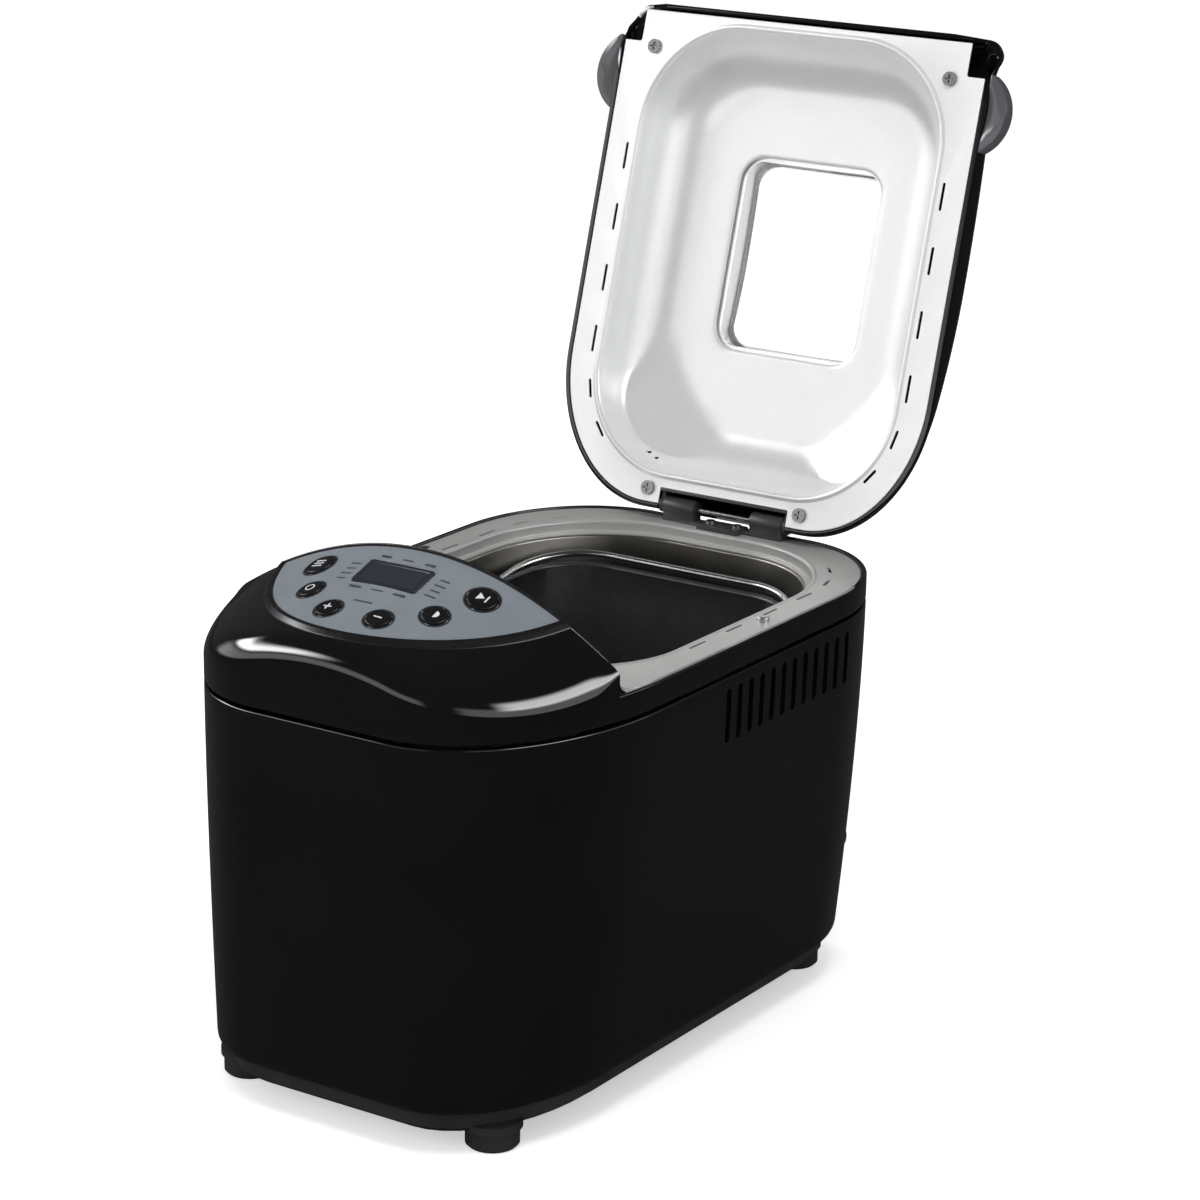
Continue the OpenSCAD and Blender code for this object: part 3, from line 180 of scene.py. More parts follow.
def hood_plan(d):
    """D-shaped outline of the hood: the housing's front corners, cut off by a straight back edge."""
    a, b, w = FRONT_A - d, FRONT_B - d, HALF_W - d
    yf, back = FRONT_Y + d, HOOD_BACK - d
    t = math.degrees(math.asin((yf + b - back) / b))
    xb = w - a + a * math.cos(math.radians(t))
    edge = np.linspace(xb, -xb, 61)[1:-1]
    front = np.linspace(a - w, w - a, 25)[1:-1]
    return np.vstack([
        np.stack([edge, np.full(edge.shape, back)], 1),
        arc(a - w, yf + b, a, b, 180 + t, 270, 56),
        np.stack([front, np.full(front.shape, yf)], 1),
        arc(w - a, yf + b, a, b, 270, 360 - t, 56),
    ])


def panel_plan(d, behind=None):
    """Panel outline: an ellipse cut off by a straight back edge, drawn in by d, and by behind at its back."""
    yc = PANEL_Y - PANEL_LEN + PANEL_B
    a, b, back = PANEL_A - d, PANEL_B - d, PANEL_Y - (d if behind is None else behind)
    t = math.degrees(math.asin((yc - back) / b))
    xb = a * math.cos(math.radians(t))
    edge = np.linspace(xb, -xb, 61)[1:-1]
    return np.vstack([np.stack([edge, np.full(edge.shape, back)], 1), arc(0, yc, a, b, 180 + t, 360 - t, 140)])


# ---- Height fields ----


def hood_top(x, y):
    """Crown of the hood: a plane that falls to the front, less CROWN times x squared."""
    return DECK_Z + HOOD_RISE + HOOD_SLOPE * (y - PANEL_Y) - CROWN * x ** 2


def lid_top(x, y):
    """Crown of the lid: two parabolas along it that meet at its highest line, less CROWN times x squared."""
    k = np.where(y < -142, 0.0006, 0.0017)
    return DOME_RISE - k * (y + 142) ** 2 - CROWN * x ** 2


def smooth(t):
    """3t^2 - 2t^3 between 0 and 1."""
    t = np.clip(t, 0, 1)
    return t * t * (3 - 2 * t)


# ---- Profiles and grids ----


def rounded(points, radii, steps=6):
    """A polyline with each inner corner replaced by an arc of its radius."""
    out = [np.array(points[0], float)]
    for k in range(1, len(points) - 1):
        p, q, s = (np.array(points[k + j], float) for j in (-1, 0, 1))
        u, v = (p - q) / np.linalg.norm(p - q), (s - q) / np.linalg.norm(s - q)
        half = math.acos(max(-1.0, min(1.0, float(u @ v)))) / 2
        r = radii[k]
        if r <= 0 or abs(math.pi / 2 - half) < 1e-3:
            out.append(q)
            continue
        cut = r / math.tan(half)
        mid = q + (u + v) / np.linalg.norm(u + v) * (r / math.sin(half))
        a, b = q + u * cut - mid, q + v * cut - mid
        turn = math.pi - 2 * half
        for f in np.linspace(0, 1, steps + 1):
            out.append(mid + (math.sin((1 - f) * turn) * a + math.sin(f * turn) * b) / math.sin(turn))
    out.append(np.array(points[-1], float))
    return np.array(out)


def dense(path, step):
    """A polyline with points added so that no piece is longer than step."""
    out = [path[:1]]
    for p, q in zip(path[:-1], path[1:]):
        n = max(1, int(math.ceil(np.linalg.norm(q - p) / step)))
        out.append(p + (q - p) * (np.arange(1, n + 1) / n)[:, None])
    return np.vstack(out)


def raised(loop, z):
    """Points of an outline at height z, which is one number or one for each point."""
    return np.column_stack([loop, np.broadcast_to(z, len(loop))])


def grid_mesh(rings, ring=False, head=None, foot=None):
    """Vertices and faces of a surface through rings of equal length.

    The surface is closed along the rings. Across them it is open, joined end to end (ring),
    or closed on a point (foot before the first ring, head after the last)."""
    rings = np.asarray(rings, float)
    m, n = rings.shape[:2]
    verts = rings.reshape(-1, 3)
    k = np.arange(m if ring else m - 1)[:, None] * n
    i = np.arange(n)[None, :]
    j = (i + 1) % n
    up = (k + n) % (m * n)
    faces = np.stack([k + i, k + j, up + j, up + i], -1).reshape(-1, 4).tolist()
    ends = []
    for pole, row, flip in ((foot, 0, True), (head, m - 1, False)):
        if pole is None:
            continue
        c = m * n + len(ends)
        ends.append(pole)
        a, b = row * n + np.arange(n), row * n + (np.arange(n) + 1) % n
        fan = [b, a] if flip else [a, b]
        faces += np.stack([np.full(n, c), *fan], 1).tolist()
    return (np.vstack([verts, ends]) if ends else verts), faces


def joined(*parts):
    """Several (vertices, faces) pairs as one."""
    verts, faces, base = [], [], 0
    for v, f in parts:
        verts.append(v)
        faces += [[base + i for i in face] for face in f]
        base += len(v)
    return np.vstack(verts), faces


def placed(part, matrix):
    """A (vertices, faces) pair moved by a 4 by 4 matrix."""
    v, f = part
    m = np.array(matrix)
    return v @ m[:3, :3].T + m[:3, 3], f


def revolve(profile, n=96):
    """A profile of (radius, height) turned about Z. Its ends close on the axis."""
    t = np.linspace(0, 2 * math.pi, n, endpoint=False)
    rings = [np.column_stack([r * np.cos(t), r * np.sin(t), np.full(n, z)]) for r, z in profile[1:-1]]
    return grid_mesh(rings, foot=(0, 0, profile[0][1]), head=(0, 0, profile[-1][1]))


def prism(loop, z0, z1):
    """A closed prism on an outline."""
    c = loop.mean(0)
    return grid_mesh([raised(loop, z0), raised(loop, z1)], foot=(*c, z0), head=(*c, z1))


def slot_loop(p, q, w, n=8):
    """Outline of a slot of width w with round ends, between two points."""
    p, q = np.array(p, float), np.array(q, float)
    a = math.degrees(math.atan2(*(q - p)[::-1]))
    u = (q - p) / np.linalg.norm(q - p) * w / 2
    return np.vstack([arc(*(q - u), w / 2, w / 2, a - 90, a + 90, n),
                      arc(*(p + u), w / 2, w / 2, a + 90, a + 270, n)])


def rect_loop(x, y, w, h, r, n=8):
    """Rounded rectangle about a point."""
    corners = [(1, 1, 0), (-1, 1, 90), (-1, -1, 180), (1, -1, 270)]
    return np.vstack([arc(x + sx * (w / 2 - r), y + sy * (h / 2 - r), r, r, a, a + 90, n) for sx, sy, a in corners])


def on_panel(x, y):
    """Matrix that takes a piece drawn about the origin to the hood's surface, along its normal."""
    side = math.atan(-2 * CROWN * x * math.cos(TILT))
    return (Matrix.Translation((x, y, float(hood_top(x, y)))) @ Matrix.Rotation(TILT, 4, "X")
            @ Matrix.Rotation(-side, 4, "Y"))


# ---- Objects ----


def make(name, part):
    """A mesh object, in metres, from a (vertices, faces) pair in millimetres."""
    verts, faces = part
    mesh = bpy.data.meshes.new(name)
    mesh.from_pydata((np.asarray(verts) * MM).tolist(), [], faces)
    mesh.validate()
    obj = bpy.data.objects.new(name, mesh)
    bpy.context.scene.collection.objects.link(obj)
    return obj


def bake_modifiers(obj):
    """Puts what the modifiers give into the object's own mesh."""
    graph = bpy.context.evaluated_depsgraph_get()
    mesh = bpy.data.meshes.new_from_object(obj.evaluated_get(graph))
    obj.modifiers.clear()
    obj.data = mesh


def cut(obj, *parts):
    """Takes closed (vertices, faces) parts away from a piece."""
    tool = make(obj.name + "_cut", joined(*parts))
    step = obj.modifiers.new("cut", "BOOLEAN")
    step.object, step.operation, step.solver = tool, "DIFFERENCE", "EXACT"
    bake_modifiers(obj)
    bpy.data.objects.remove(tool)


def thicken(obj, depth, side=-1.0):
    """Gives a sheet a wall of this many millimetres, away from its faces."""
    step = obj.modifiers.new("wall", "SOLIDIFY")
    step.thickness, step.offset, step.use_even_offset = depth * MM, side, True
    bake_modifiers(obj)


def settle(obj, body, slot, material, *nodes):
    """Smooths a finished piece, dresses it and lets it ride on its body in the nodes' stead."""
    obj.data.shade_smooth()
    obj.data.set_sharp_from_angle(angle=math.radians(SHARP_ANGLE))
    obj.data.materials.clear()
    obj.data.materials.append(material)
    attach(obj, body)
    if nodes:
        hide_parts(*nodes)
    return obj


# ---- Finishes ----


def node(tree, kind, values=(), **props):
    """A shader node with its properties set, and each named input linked or given its value."""
    n = tree.nodes.new("ShaderNode" + kind)
    for key, value in props.items():
        setattr(n, key, value)
    for key, value in dict(values).items():
        if isinstance(value, bpy.types.NodeSocket):
            tree.links.new(value, n.inputs[key])
        else:
            n.inputs[key].default_value = value
    return n


def calc(tree, operation, *values):
    """The result of a Math node."""
    return node(tree, "Math", dict(enumerate(values)), operation=operation).outputs[0]


def node_group(name, inputs, outputs, build):
    """A shader node group of float inputs and float outputs. build(tree, inputs) returns its outputs."""
    if name in bpy.data.node_groups:
        return bpy.data.node_groups[name]
    tree = bpy.data.node_groups.new(name, "ShaderNodeTree")
    for label, default in inputs:
        tree.interface.new_socket(label, in_out="INPUT", socket_type="NodeSocketFloat").default_value = default
    for label in outputs:
        tree.interface.new_socket(label, in_out="OUTPUT", socket_type="NodeSocketFloat")
    source, sink = tree.nodes.new("NodeGroupInput"), tree.nodes.new("NodeGroupOutput")
    for label, socket in zip(outputs, build(tree, source.outputs)):
        tree.links.new(socket, sink.inputs[label])
    return tree


def build_grain(tree, sockets):
    """Fine even grain, and soft blotches some forty times its size."""
    at = node(tree, "TexCoord").outputs["Object"]
    fine = node(tree, "TexNoise", {"Vector": at, "Scale": sockets["Scale"], "Detail": 3.0, "Roughness": 0.6})
    wide = calc(tree, "MULTIPLY", sockets["Scale"], 0.025)
    blotch = node(tree, "TexNoise", {"Vector": at, "Scale": wide, "Detail": 2.0, "Roughness": 0.5})
    return fine.outputs["Fac"], blotch.outputs["Fac"]


def build_brushed(tree, sockets):
    """Fine lines along X: noise squeezed across them by Stretch."""
    at = node(tree, "TexCoord").outputs["Object"]
    parts = node(tree, "SeparateXYZ", {0: at})
    y, z = (calc(tree, "MULTIPLY", parts.outputs[axis], sockets["Stretch"]) for axis in "YZ")
    squeezed = node(tree, "CombineXYZ", {"X": parts.outputs["X"], "Y": y, "Z": z})
    lines = node(tree, "TexNoise", {"Vector": squeezed.outputs[0], "Scale": sockets["Scale"], "Detail": 4.0,
                                    "Roughness": 0.7})
    return (lines.outputs["Fac"],)


def build_flecks(tree, sockets):
    """Small round flecks: cells whose distance to their centre is under Size, kept where noise is high."""
    at = node(tree, "TexCoord").outputs["Object"]
    cells = node(tree, "TexVoronoi", {"Vector": at, "Scale": sockets["Scale"]}, feature="F1")
    spot = calc(tree, "LESS_THAN", cells.outputs["Distance"], sockets["Size"])
    noise = node(tree, "TexNoise", {"Vector": at, "Scale": 60.0, "Detail": 2.0})
    kept = calc(tree, "GREATER_THAN", noise.outputs["Fac"], 0.47)
    return (calc(tree, "MULTIPLY", spot, kept),)


# The node groups: their inputs with defaults, their outputs and what builds them
GROUPS = {
    "Grain": ([("Scale", 800.0)], ["Fine", "Blotch"], build_grain),
    "Brushed lines": ([("Scale", 40.0), ("Stretch", 30.0)], ["Lines"], build_brushed),
    "Flecks": ([("Scale", 900.0), ("Size", 0.3)], ["Flecks"], build_flecks),
}


def group_node(tree, name, *values):
    """The outputs of a node group with its inputs set."""
    n = node(tree, "Group", node_tree=node_group(name, *GROUPS[name]))
    for socket, value in zip(n.inputs, values):
        socket.default_value = value
    return list(n.outputs)


def span(tree, value, low, high):
    """A value near one half spread between low and high."""
    return node(tree, "MapRange", {"Value": value, "From Min": 0.3, "From Max": 0.7, "To Min": low,
                                   "To Max": high}).outputs["Result"]


def tones(tree, mask, first, second):
    """A colour between two tones, by a mask."""
    mix = node(tree, "Mix", {"Factor": mask}, data_type="RGBA")
    mix.inputs[6].default_value = (*first, 1)
    mix.inputs[7].default_value = (*second, 1)
    return mix.outputs[2]


def finish(name, tone, other, rough, metallic=0.0, specular=0.5, grain=900.0, bump=0.0, blotchy=True,
           lines=None, flecks=None, coat=0.0, coat_rough=0.05):
    """A plastic, paint, metal or rubber finish.

    The colour wanders between two tones with the grain's blotches, the roughness between two
    values with the fine grain or the brushed lines, and the same pattern lifts the surface by
    bump millimetres. flecks adds (scale, size, colour) specks."""
    if name in bpy.data.materials:
        return bpy.data.materials[name]
    m = bpy.data.materials.new(name)
    m.use_nodes = True
    tree = m.node_tree
    shader = tree.nodes["Principled BSDF"]
    fine, blotch = group_node(tree, "Grain", grain)
    pattern = group_node(tree, "Brushed lines", *lines)[0] if lines else fine
    colour = tones(tree, span(tree, blotch, 0, 1), tone, other)
    if flecks:
        mask = group_node(tree, "Flecks", flecks[0], flecks[1])[0]
        mix = node(tree, "Mix", {"Factor": mask, 6: colour}, data_type="RGBA")
        mix.inputs[7].default_value = (*flecks[2], 1)
        colour = mix.outputs[2]
    tree.links.new(colour, shader.inputs["Base Color"])
    half = calc(tree, "MULTIPLY", calc(tree, "ADD", pattern, blotch if blotchy else pattern), 0.5)
    tree.links.new(span(tree, half, *rough), shader.inputs["Roughness"])
    if bump:
        relief = node(tree, "Bump", {"Height": pattern, "Strength": 0.6, "Distance": bump * MM})
        tree.links.new(relief.outputs["Normal"], shader.inputs["Normal"])
    shader.inputs["Metallic"].default_value = metallic
    shader.inputs["Specular IOR Level"].default_value = specular
    shader.inputs["Coat Weight"].default_value = coat
    shader.inputs["Coat Roughness"].default_value = coat_rough
    return m


def clear_glass(name):
    """Clear glass with faint smears in its roughness."""
    if name in bpy.data.materials:
        return bpy.data.materials[name]
    m = bpy.data.materials.new(name)
    m.use_nodes = True
    tree = m.node_tree
    shader = tree.nodes["Principled BSDF"]
    shader.inputs["Transmission Weight"].default_value = 1.0
    shader.inputs["IOR"].default_value = 1.45
    fine, blotch = group_node(tree, "Grain", 700.0)
    tree.links.new(span(tree, blotch, 0.0, 0.04), shader.inputs["Roughness"])
    tree.links.new(tones(tree, span(tree, fine, 0, 1), (0.985, 0.995, 0.995), (1.0, 1.0, 1.0)),
                   shader.inputs["Base Color"])
    return m


FINISHES = {
    "gloss_black": dict(tone=(0.0026, 0.0026, 0.0028), other=(0.0038, 0.0038, 0.0041), rough=(0.05, 0.10),
                        grain=700.0, coat=1.0, coat_rough=0.04),
    "matte_black": dict(tone=(0.016, 0.016, 0.017), other=(0.024, 0.024, 0.025), rough=(0.5, 0.62),
                        specular=0.35, grain=1600.0, bump=0.05),
    "rubber_black": dict(tone=(0.012, 0.012, 0.012), other=(0.022, 0.022, 0.022), rough=(0.62, 0.8),
                         specular=0.3, grain=1200.0, bump=0.06),
    "panel_silver": dict(tone=(0.235, 0.265, 0.292), other=(0.255, 0.286, 0.314), rough=(0.34, 0.44),
                         metallic=0.2, grain=2600.0, bump=0.01, flecks=(2400.0, 0.22, (0.34, 0.37, 0.40))),
    "button_black": dict(tone=(0.007, 0.007, 0.008), other=(0.01, 0.01, 0.011), rough=(0.24, 0.32), grain=1500.0),
    "print_pale": dict(tone=(0.62, 0.64, 0.66), other=(0.7, 0.72, 0.74), rough=(0.4, 0.5), grain=3000.0),
    "print_dark": dict(tone=(0.03, 0.032, 0.036), other=(0.045, 0.047, 0.05), rough=(0.4, 0.5), grain=3000.0),
    "print_grey": dict(tone=(0.055, 0.064, 0.074), other=(0.065, 0.075, 0.085), rough=(0.4, 0.5), grain=3000.0),
    "display_dark": dict(tone=(0.026, 0.028, 0.038), other=(0.032, 0.034, 0.046), rough=(0.08, 0.14),
                         grain=500.0, coat=0.5),
    "lens_frame": dict(tone=(0.02, 0.022, 0.028), other=(0.026, 0.028, 0.034), rough=(0.1, 0.16), grain=600.0),
    "liner_metal": dict(tone=(0.90, 0.905, 0.905), other=(0.92, 0.925, 0.925), rough=(0.27, 0.32), metallic=0.42,
                        grain=2400.0, bump=0.012, blotchy=False),
    "deck_metal": dict(tone=(0.46, 0.455, 0.445), other=(0.51, 0.505, 0.495), rough=(0.32, 0.42), metallic=0.35,
                       lines=(46.0, 24.0), bump=0.008, blotchy=False),
    "oven_steel": dict(tone=(0.30, 0.285, 0.26), other=(0.40, 0.385, 0.36), rough=(0.3, 0.44), metallic=1.0,
                       grain=900.0, bump=0.02),
    "cast_metal": dict(tone=(0.42, 0.425, 0.43), other=(0.5, 0.505, 0.51), rough=(0.42, 0.58), metallic=1.0,
                       grain=1100.0, bump=0.08),
    "plated_steel": dict(tone=(0.55, 0.555, 0.56), other=(0.62, 0.625, 0.62), rough=(0.28, 0.4), metallic=1.0,
                         lines=(60.0, 12.0), bump=0.006),
    "bright_steel": dict(tone=(0.56, 0.565, 0.57), other=(0.62, 0.625, 0.63), rough=(0.16, 0.24), metallic=1.0,
                         grain=1500.0),
    "screw_steel": dict(tone=(0.30, 0.30, 0.305), other=(0.36, 0.36, 0.365), rough=(0.22, 0.3), metallic=0.9,
                        grain=1500.0),
    "heater_tube": dict(tone=(0.035, 0.032, 0.033), other=(0.075, 0.066, 0.06), rough=(0.5, 0.66),
                        metallic=0.4, grain=500.0, bump=0.05),
    "ceramic_white": dict(tone=(0.72, 0.69, 0.62), other=(0.78, 0.76, 0.70), rough=(0.18, 0.3), grain=600.0),
    "seal_red": dict(tone=(0.26, 0.05, 0.04), other=(0.31, 0.07, 0.055), rough=(0.45, 0.6), grain=1200.0, bump=0.03),
    "bronze": dict(tone=(0.42, 0.27, 0.12), other=(0.5, 0.34, 0.17), rough=(0.35, 0.5), metallic=1.0,
                   grain=1800.0, bump=0.03),
    "copper_wire": dict(tone=(0.42, 0.16, 0.06), other=(0.5, 0.21, 0.09), rough=(0.25, 0.38), metallic=1.0,
                        lines=(20.0, 60.0), bump=0.1),
    "nylon": dict(tone=(0.60, 0.60, 0.55), other=(0.66, 0.66, 0.61), rough=(0.4, 0.52), grain=1400.0, bump=0.03),
    "hinge_grey": dict(tone=(0.036, 0.037, 0.04), other=(0.048, 0.049, 0.053), rough=(0.34, 0.46),
                       grain=1700.0, bump=0.03),
    "grip_smoke": dict(tone=(0.088, 0.087, 0.096), other=(0.105, 0.104, 0.114), rough=(0.1, 0.18),
                       grain=700.0),
    "nonstick": dict(tone=(0.035, 0.035, 0.037), other=(0.05, 0.05, 0.052), rough=(0.3, 0.42), metallic=0.3,
                     grain=900.0, bump=0.02, flecks=(1500.0, 0.2, (0.16, 0.16, 0.165))),
    "board_green": dict(tone=(0.02, 0.11, 0.045), other=(0.03, 0.14, 0.06), rough=(0.28, 0.4), grain=800.0),
}


def dressed(name):
    """The material of a named finish."""
    return finish("look_" + name, **FINISHES[name])


# ---- Pieces ----


def drawn_in(loop, d, db):
    """The hood's outline with its sides and front moved in by d and its back by db."""
    y = HOOD_BACK - db - (HOOD_BACK - loop[:, 1]) * (HOOD_BACK - FRONT_Y - d - db) / (HOOD_BACK - FRONT_Y)
    return np.column_stack([loop[:, 0] * (HALF_W - d) / HALF_W, y])


def round_hole(loop, centre, r):
    """The circle about a point whose points lie in the directions of an outline's points."""
    away = loop - centre
    return centre + r * away / np.linalg.norm(away, axis=1)[:, None]


def soft_max(a, b, width=1.5):
    """The higher of two heights, with a rounded change between them: (a + b + sqrt((a - b)^2 + w^2)) / 2."""
    return 0.5 * (a + b + np.sqrt((a - b) ** 2 + width ** 2))


def draped(outline, centre, top, low, high, edge=0.3, fills=10):
    """A closed plate that follows the height field top(x, y), from low under it to high over it."""
    centre = np.array(centre, float)
    steps = np.linspace(1, 0.06, fills)

    def ring(d, f, h):
        p = centre + (outline(d) - centre) * f
        return raised(p, top(p[:, 0], p[:, 1]) + h)

    rings = [ring(0, f, low) for f in steps[::-1]]
    for a in np.radians(np.linspace(0, 90, 5)):
        rings.append(ring(edge * (1 - math.cos(a)), 1, high - edge * (1 - math.sin(a))))
    rings += [ring(edge, f, high) for f in steps[1:]]
    mid = float(top(*centre))
    return grid_mesh(rings, foot=(*centre, mid + low), head=(*centre, mid + high))


def swept(outline, path):
    """Rings of an outline through a path of (inset, height)."""
    return [raised(outline(d), z) for d, z in path]


CENTRE = np.array([0.0, OVEN_Y])
# Turns a prism drawn in (y, z) so that its height runs along X
SIDEWAYS = Matrix(((0, 0, 1, 0), (1, 0, 0, 0), (0, 1, 0, 0), (0, 0, 0, 1)))


def gloss_piece(name, part, *tools, node="top_cover"):
    """A piece of the housing in gloss black, with tools cut away from it."""
    obj = make(name, part)
    if tools:
        cut(obj, *tools)
    return settle(obj, "housing", "black_gloss", dressed("gloss_black"), node)


def side_name(s):
    """The side of the machine that a sign stands for."""
    return "right" if s > 0 else "left"


def build_lower_shell(edge):
    """The housing's wall: its outline swept through a closed profile of (inset, height), with vents cut in."""
    path = rounded([(8.4, SHELL_Z), (0, SHELL_Z), (0, SEAM_Z), (SHELL_T, SEAM_Z), (SHELL_T, 27), (8.4, 27)],
                   [0, edge, 0.9, 0.5, 1, 0])
    rings = [raised(body_plan(z, d), z) for d, z in dense(path, 9)]
    slots = [slot_loop((y, VENT_LOW), (y, VENT_HIGH), VENT_W) for y in VENT_Y - VENT_STEP * np.arange(VENTS)]
    vents = [placed(prism(slot, s * 117 - 12, s * 117 + 12), SIDEWAYS) for s in (-1, 1) for slot in slots]
    inlet = prism(round_hole(oven_plan(0), CENTRE, 7) - CENTRE, -14, 14)
    inlet = placed(inlet, Matrix.Translation(GLAND) @ Matrix.Rotation(math.pi / 2, 4, "X"))
    return gloss_piece("lower_shell_skin", grid_mesh(rings, ring=True), *vents, inlet, node="lower_shell")


def by_angle(loop, n=480):
    """n points of a closed loop in equal steps of direction from the oven's centre."""
    fine = resample(loop, 4000)
    turn = np.arctan2(fine[:, 1] - OVEN_Y, fine[:, 0])
    at = np.linspace(-math.pi, math.pi, n, endpoint=False)
    return np.stack([np.interp(at, turn, fine[:, k], period=2 * math.pi) for k in (0, 1)], 1)


def rim_plan(d):
    """The housing's outline behind the hood, closed by a straight front edge."""
    a, b, w = FRONT_A - d, FRONT_B - d, HALF_W - d
    ra, rb, yr, yc, front = REAR_A - d, REAR_B - d, REAR_Y - d, FRONT_Y + FRONT_B, HOOD_BACK - 1 + d
    t = math.degrees(math.asin((yc - front) / b))
    return by_angle(np.vstack([
        arc(w - ra, yr - rb, ra, rb, 0, 90, 48), arc(ra - w, yr - rb, ra, rb, 90, 180, 48),
        arc(a - w, yc, a, b, 180, 180 + t, 12), arc(w - a, yc, a, b, 360 - t, 360, 12)]))


def build_rim():
    """The cover's rim behind the hood: outline rings up its wall, over its top and down to the deck's ledge."""
    wall = rounded([(SHELL_T, COVER_Z), (0, COVER_Z), (0, RIM_Z), (3, RIM_Z)], [0, 0.9, 1.2, 0])
    step = rounded([(-0.8, RIM_Z), (-0.1, RIM_Z), (-0.1, 222.5), (4, 222.5), (4, COVER_Z)], [0, 0.35, 0, 0, 0])
    rings = swept(rim_plan, wall[:-1]) + swept(lambda d: by_angle(deck_plan(d)), step)
    return gloss_piece("top_cover_rim", grid_mesh(rings, ring=True))


def build_hood(roundness):
    """The control hood: a wall on the D-shaped outline, a rounded shoulder and the crown above it."""
    base = hood_plan(0)
    back = base[:, 1] > HOOD_BACK - 1e-6
    drop = np.where(back, 3.0, 3.0 + (roundness - 3.0) * smooth((HOOD_BACK - base[:, 1]) / 16))
    edge = hood_top(base[:, 0], base[:, 1]) - drop
    rings = [raised(drawn_in(base, 0.9, 0.9), COVER_Z), raised(drawn_in(base, 0.3, 0.3), COVER_Z + 0.25),
             raised(base, COVER_Z + 0.9)]
    rings += [raised(base, COVER_Z + 0.9 + (edge - COVER_Z - 0.9) * f) for f in np.linspace(0, 1, 7)[1:-1]]
    for a in np.radians(np.linspace(0, 90, 11)):
        p = drawn_in(base, roundness * (1 - math.cos(a)), 3 * (1 - math.cos(a)))
        rings.append(raised(p, hood_top(p[:, 0], p[:, 1]) - drop * (1 - math.sin(a))))
    centre = np.array([0, (HOOD_BACK + FRONT_Y) / 2])
    inner = drawn_in(base, roundness, 3)
    for f in np.linspace(1, 0.05, 14)[1:]:
        p = centre + (inner - centre) * f
        rings.append(raised(p, hood_top(p[:, 0], p[:, 1])))
    hood = make("top_cover_hood", grid_mesh(rings, head=(*centre, float(hood_top(*centre)))))
    thicken(hood, 2.4)
    cut(hood, *panel_holes(0.45))
    return settle(hood, "housing", "black_gloss", dressed("gloss_black"), "top_cover")


def panel_holes(gap):
    """Closed tools for the six button holes and the display's opening, wider than them by gap."""
    t = np.linspace(0, 2 * math.pi, 96, endpoint=False)
    ring = np.column_stack([np.cos(t), np.sin(t)])
    holes = [placed(prism(ring * (r + gap), -12, 12), on_panel(x, y)) for _, x, y, r in BUTTONS]
    x, y, w, h = DISPLAY
    return holes + [placed(prism(rect_loop(0, 0, w + gap, h + gap, 1.6), -12, 12), on_panel(x, y))]


def build_hood_corner(s):
    """The concave corner between the hood's back and the rim: a quarter circle swept across, its radius
    rising from nothing and easing off at the side."""
    rings = []
    for x in np.linspace(95, 115, 28):
        r = 0.4 + 12 * float(smooth((x - 95) / 9)) * (1 - 0.5 * float(smooth((x - 108) / 7)))
        v = np.radians(np.linspace(0, 90, 14))
        y, z = HOOD_BACK + r * (1 - np.sin(v)), RIM_Z + r * (1 - np.cos(v))
        y, z = np.r_[y, HOOD_BACK - 1, HOOD_BACK - 1, y[0]], np.r_[z, z[-1], RIM_Z - 0.5, RIM_Z - 0.5]
        rings.append(np.column_stack([np.full(len(y), s * x), y, z]))
    corner = grid_mesh(rings, foot=rings[0].mean(0), head=rings[-1].mean(0))
    return gloss_piece("hood_corner_" + side_name(s), corner)


def panel_ring(o, h):
    """The panel's outline grown by o, less at its back, at h over the hood."""
    p = panel_plan(-o, -0.25 * o)
    return raised(p, hood_top(p[:, 0], p[:, 1]) + h)


def build_panel(bead):
    """The silver panel with its button and display holes, and its moulded surround."""
    centre = (0.0, PANEL_Y - PANEL_LEN / 2)
    panel = make("control_panel_plate", draped(panel_plan, centre, hood_top, -1.0, 0.5, edge=0.35, fills=16))
    cut(panel, *panel_holes(0.35))
    settle(panel, "housing", "panel_silver", dressed("panel_silver"), "control_panel")
    path = rounded([(4.8, -1), (4.8, 0.25), (2.3, bead), (0.3, bead * 0.7), (0.3, -1)], [0, 0.8, 1.6, 0.5, 0], 7)
    surround = make("panel_surround", grid_mesh([panel_ring(o, h) for o, h in path], ring=True))
    settle(surround, "housing", "black_gloss", dressed("button_black"), "top_cover")
    return panel


def printed(name, shapes, x, y, low, high, body, material):
    """Flat printed marks: outlines raised from low to high over the hood's surface at (x, y)."""
    parts = [placed(prism(np.asarray(loop), low, high), on_panel(x, y)) for loop in shapes]
    return settle(make(name, joined(*parts)), body, "panel_silver", dressed(material))


def bar(x, y, w, h):
    """Outline of a short bar with rounded ends."""
    return rect_loop(x, y, w, h, min(w, h) * 0.45, 4)


def ring_marks(r, w):
    """A thin ring as short arcs, so that each arc is one plain outline."""
    return [np.vstack([arc(0, 0, r + w, r + w, a, a + 90, 16), arc(0, 0, r, r, a + 90, a, 16)])
            for a in (0, 90, 180, 270)]


SYMBOLS = {
    "program": [bar(0, 2.2, 6.4, 0.9), bar(0, 0, 6.4, 0.9), bar(0, -2.2, 6.4, 0.9)],
    "weight": ring_marks(1.9, 0.7),
    "plus": [bar(0, 0, 4.8, 0.9), bar(0, 0, 0.9, 4.8)],
    "minus": [bar(0, 0, 4.8, 0.9)],
    "colour": [arc(0, 0, 2.4, 2.4, -90, 90, 20)],
    "start": [np.array([(-2.6, -2.6), (1.2, 0), (-2.6, 2.6)]), bar(2.6, 0, 0.9, 5.0)],
}


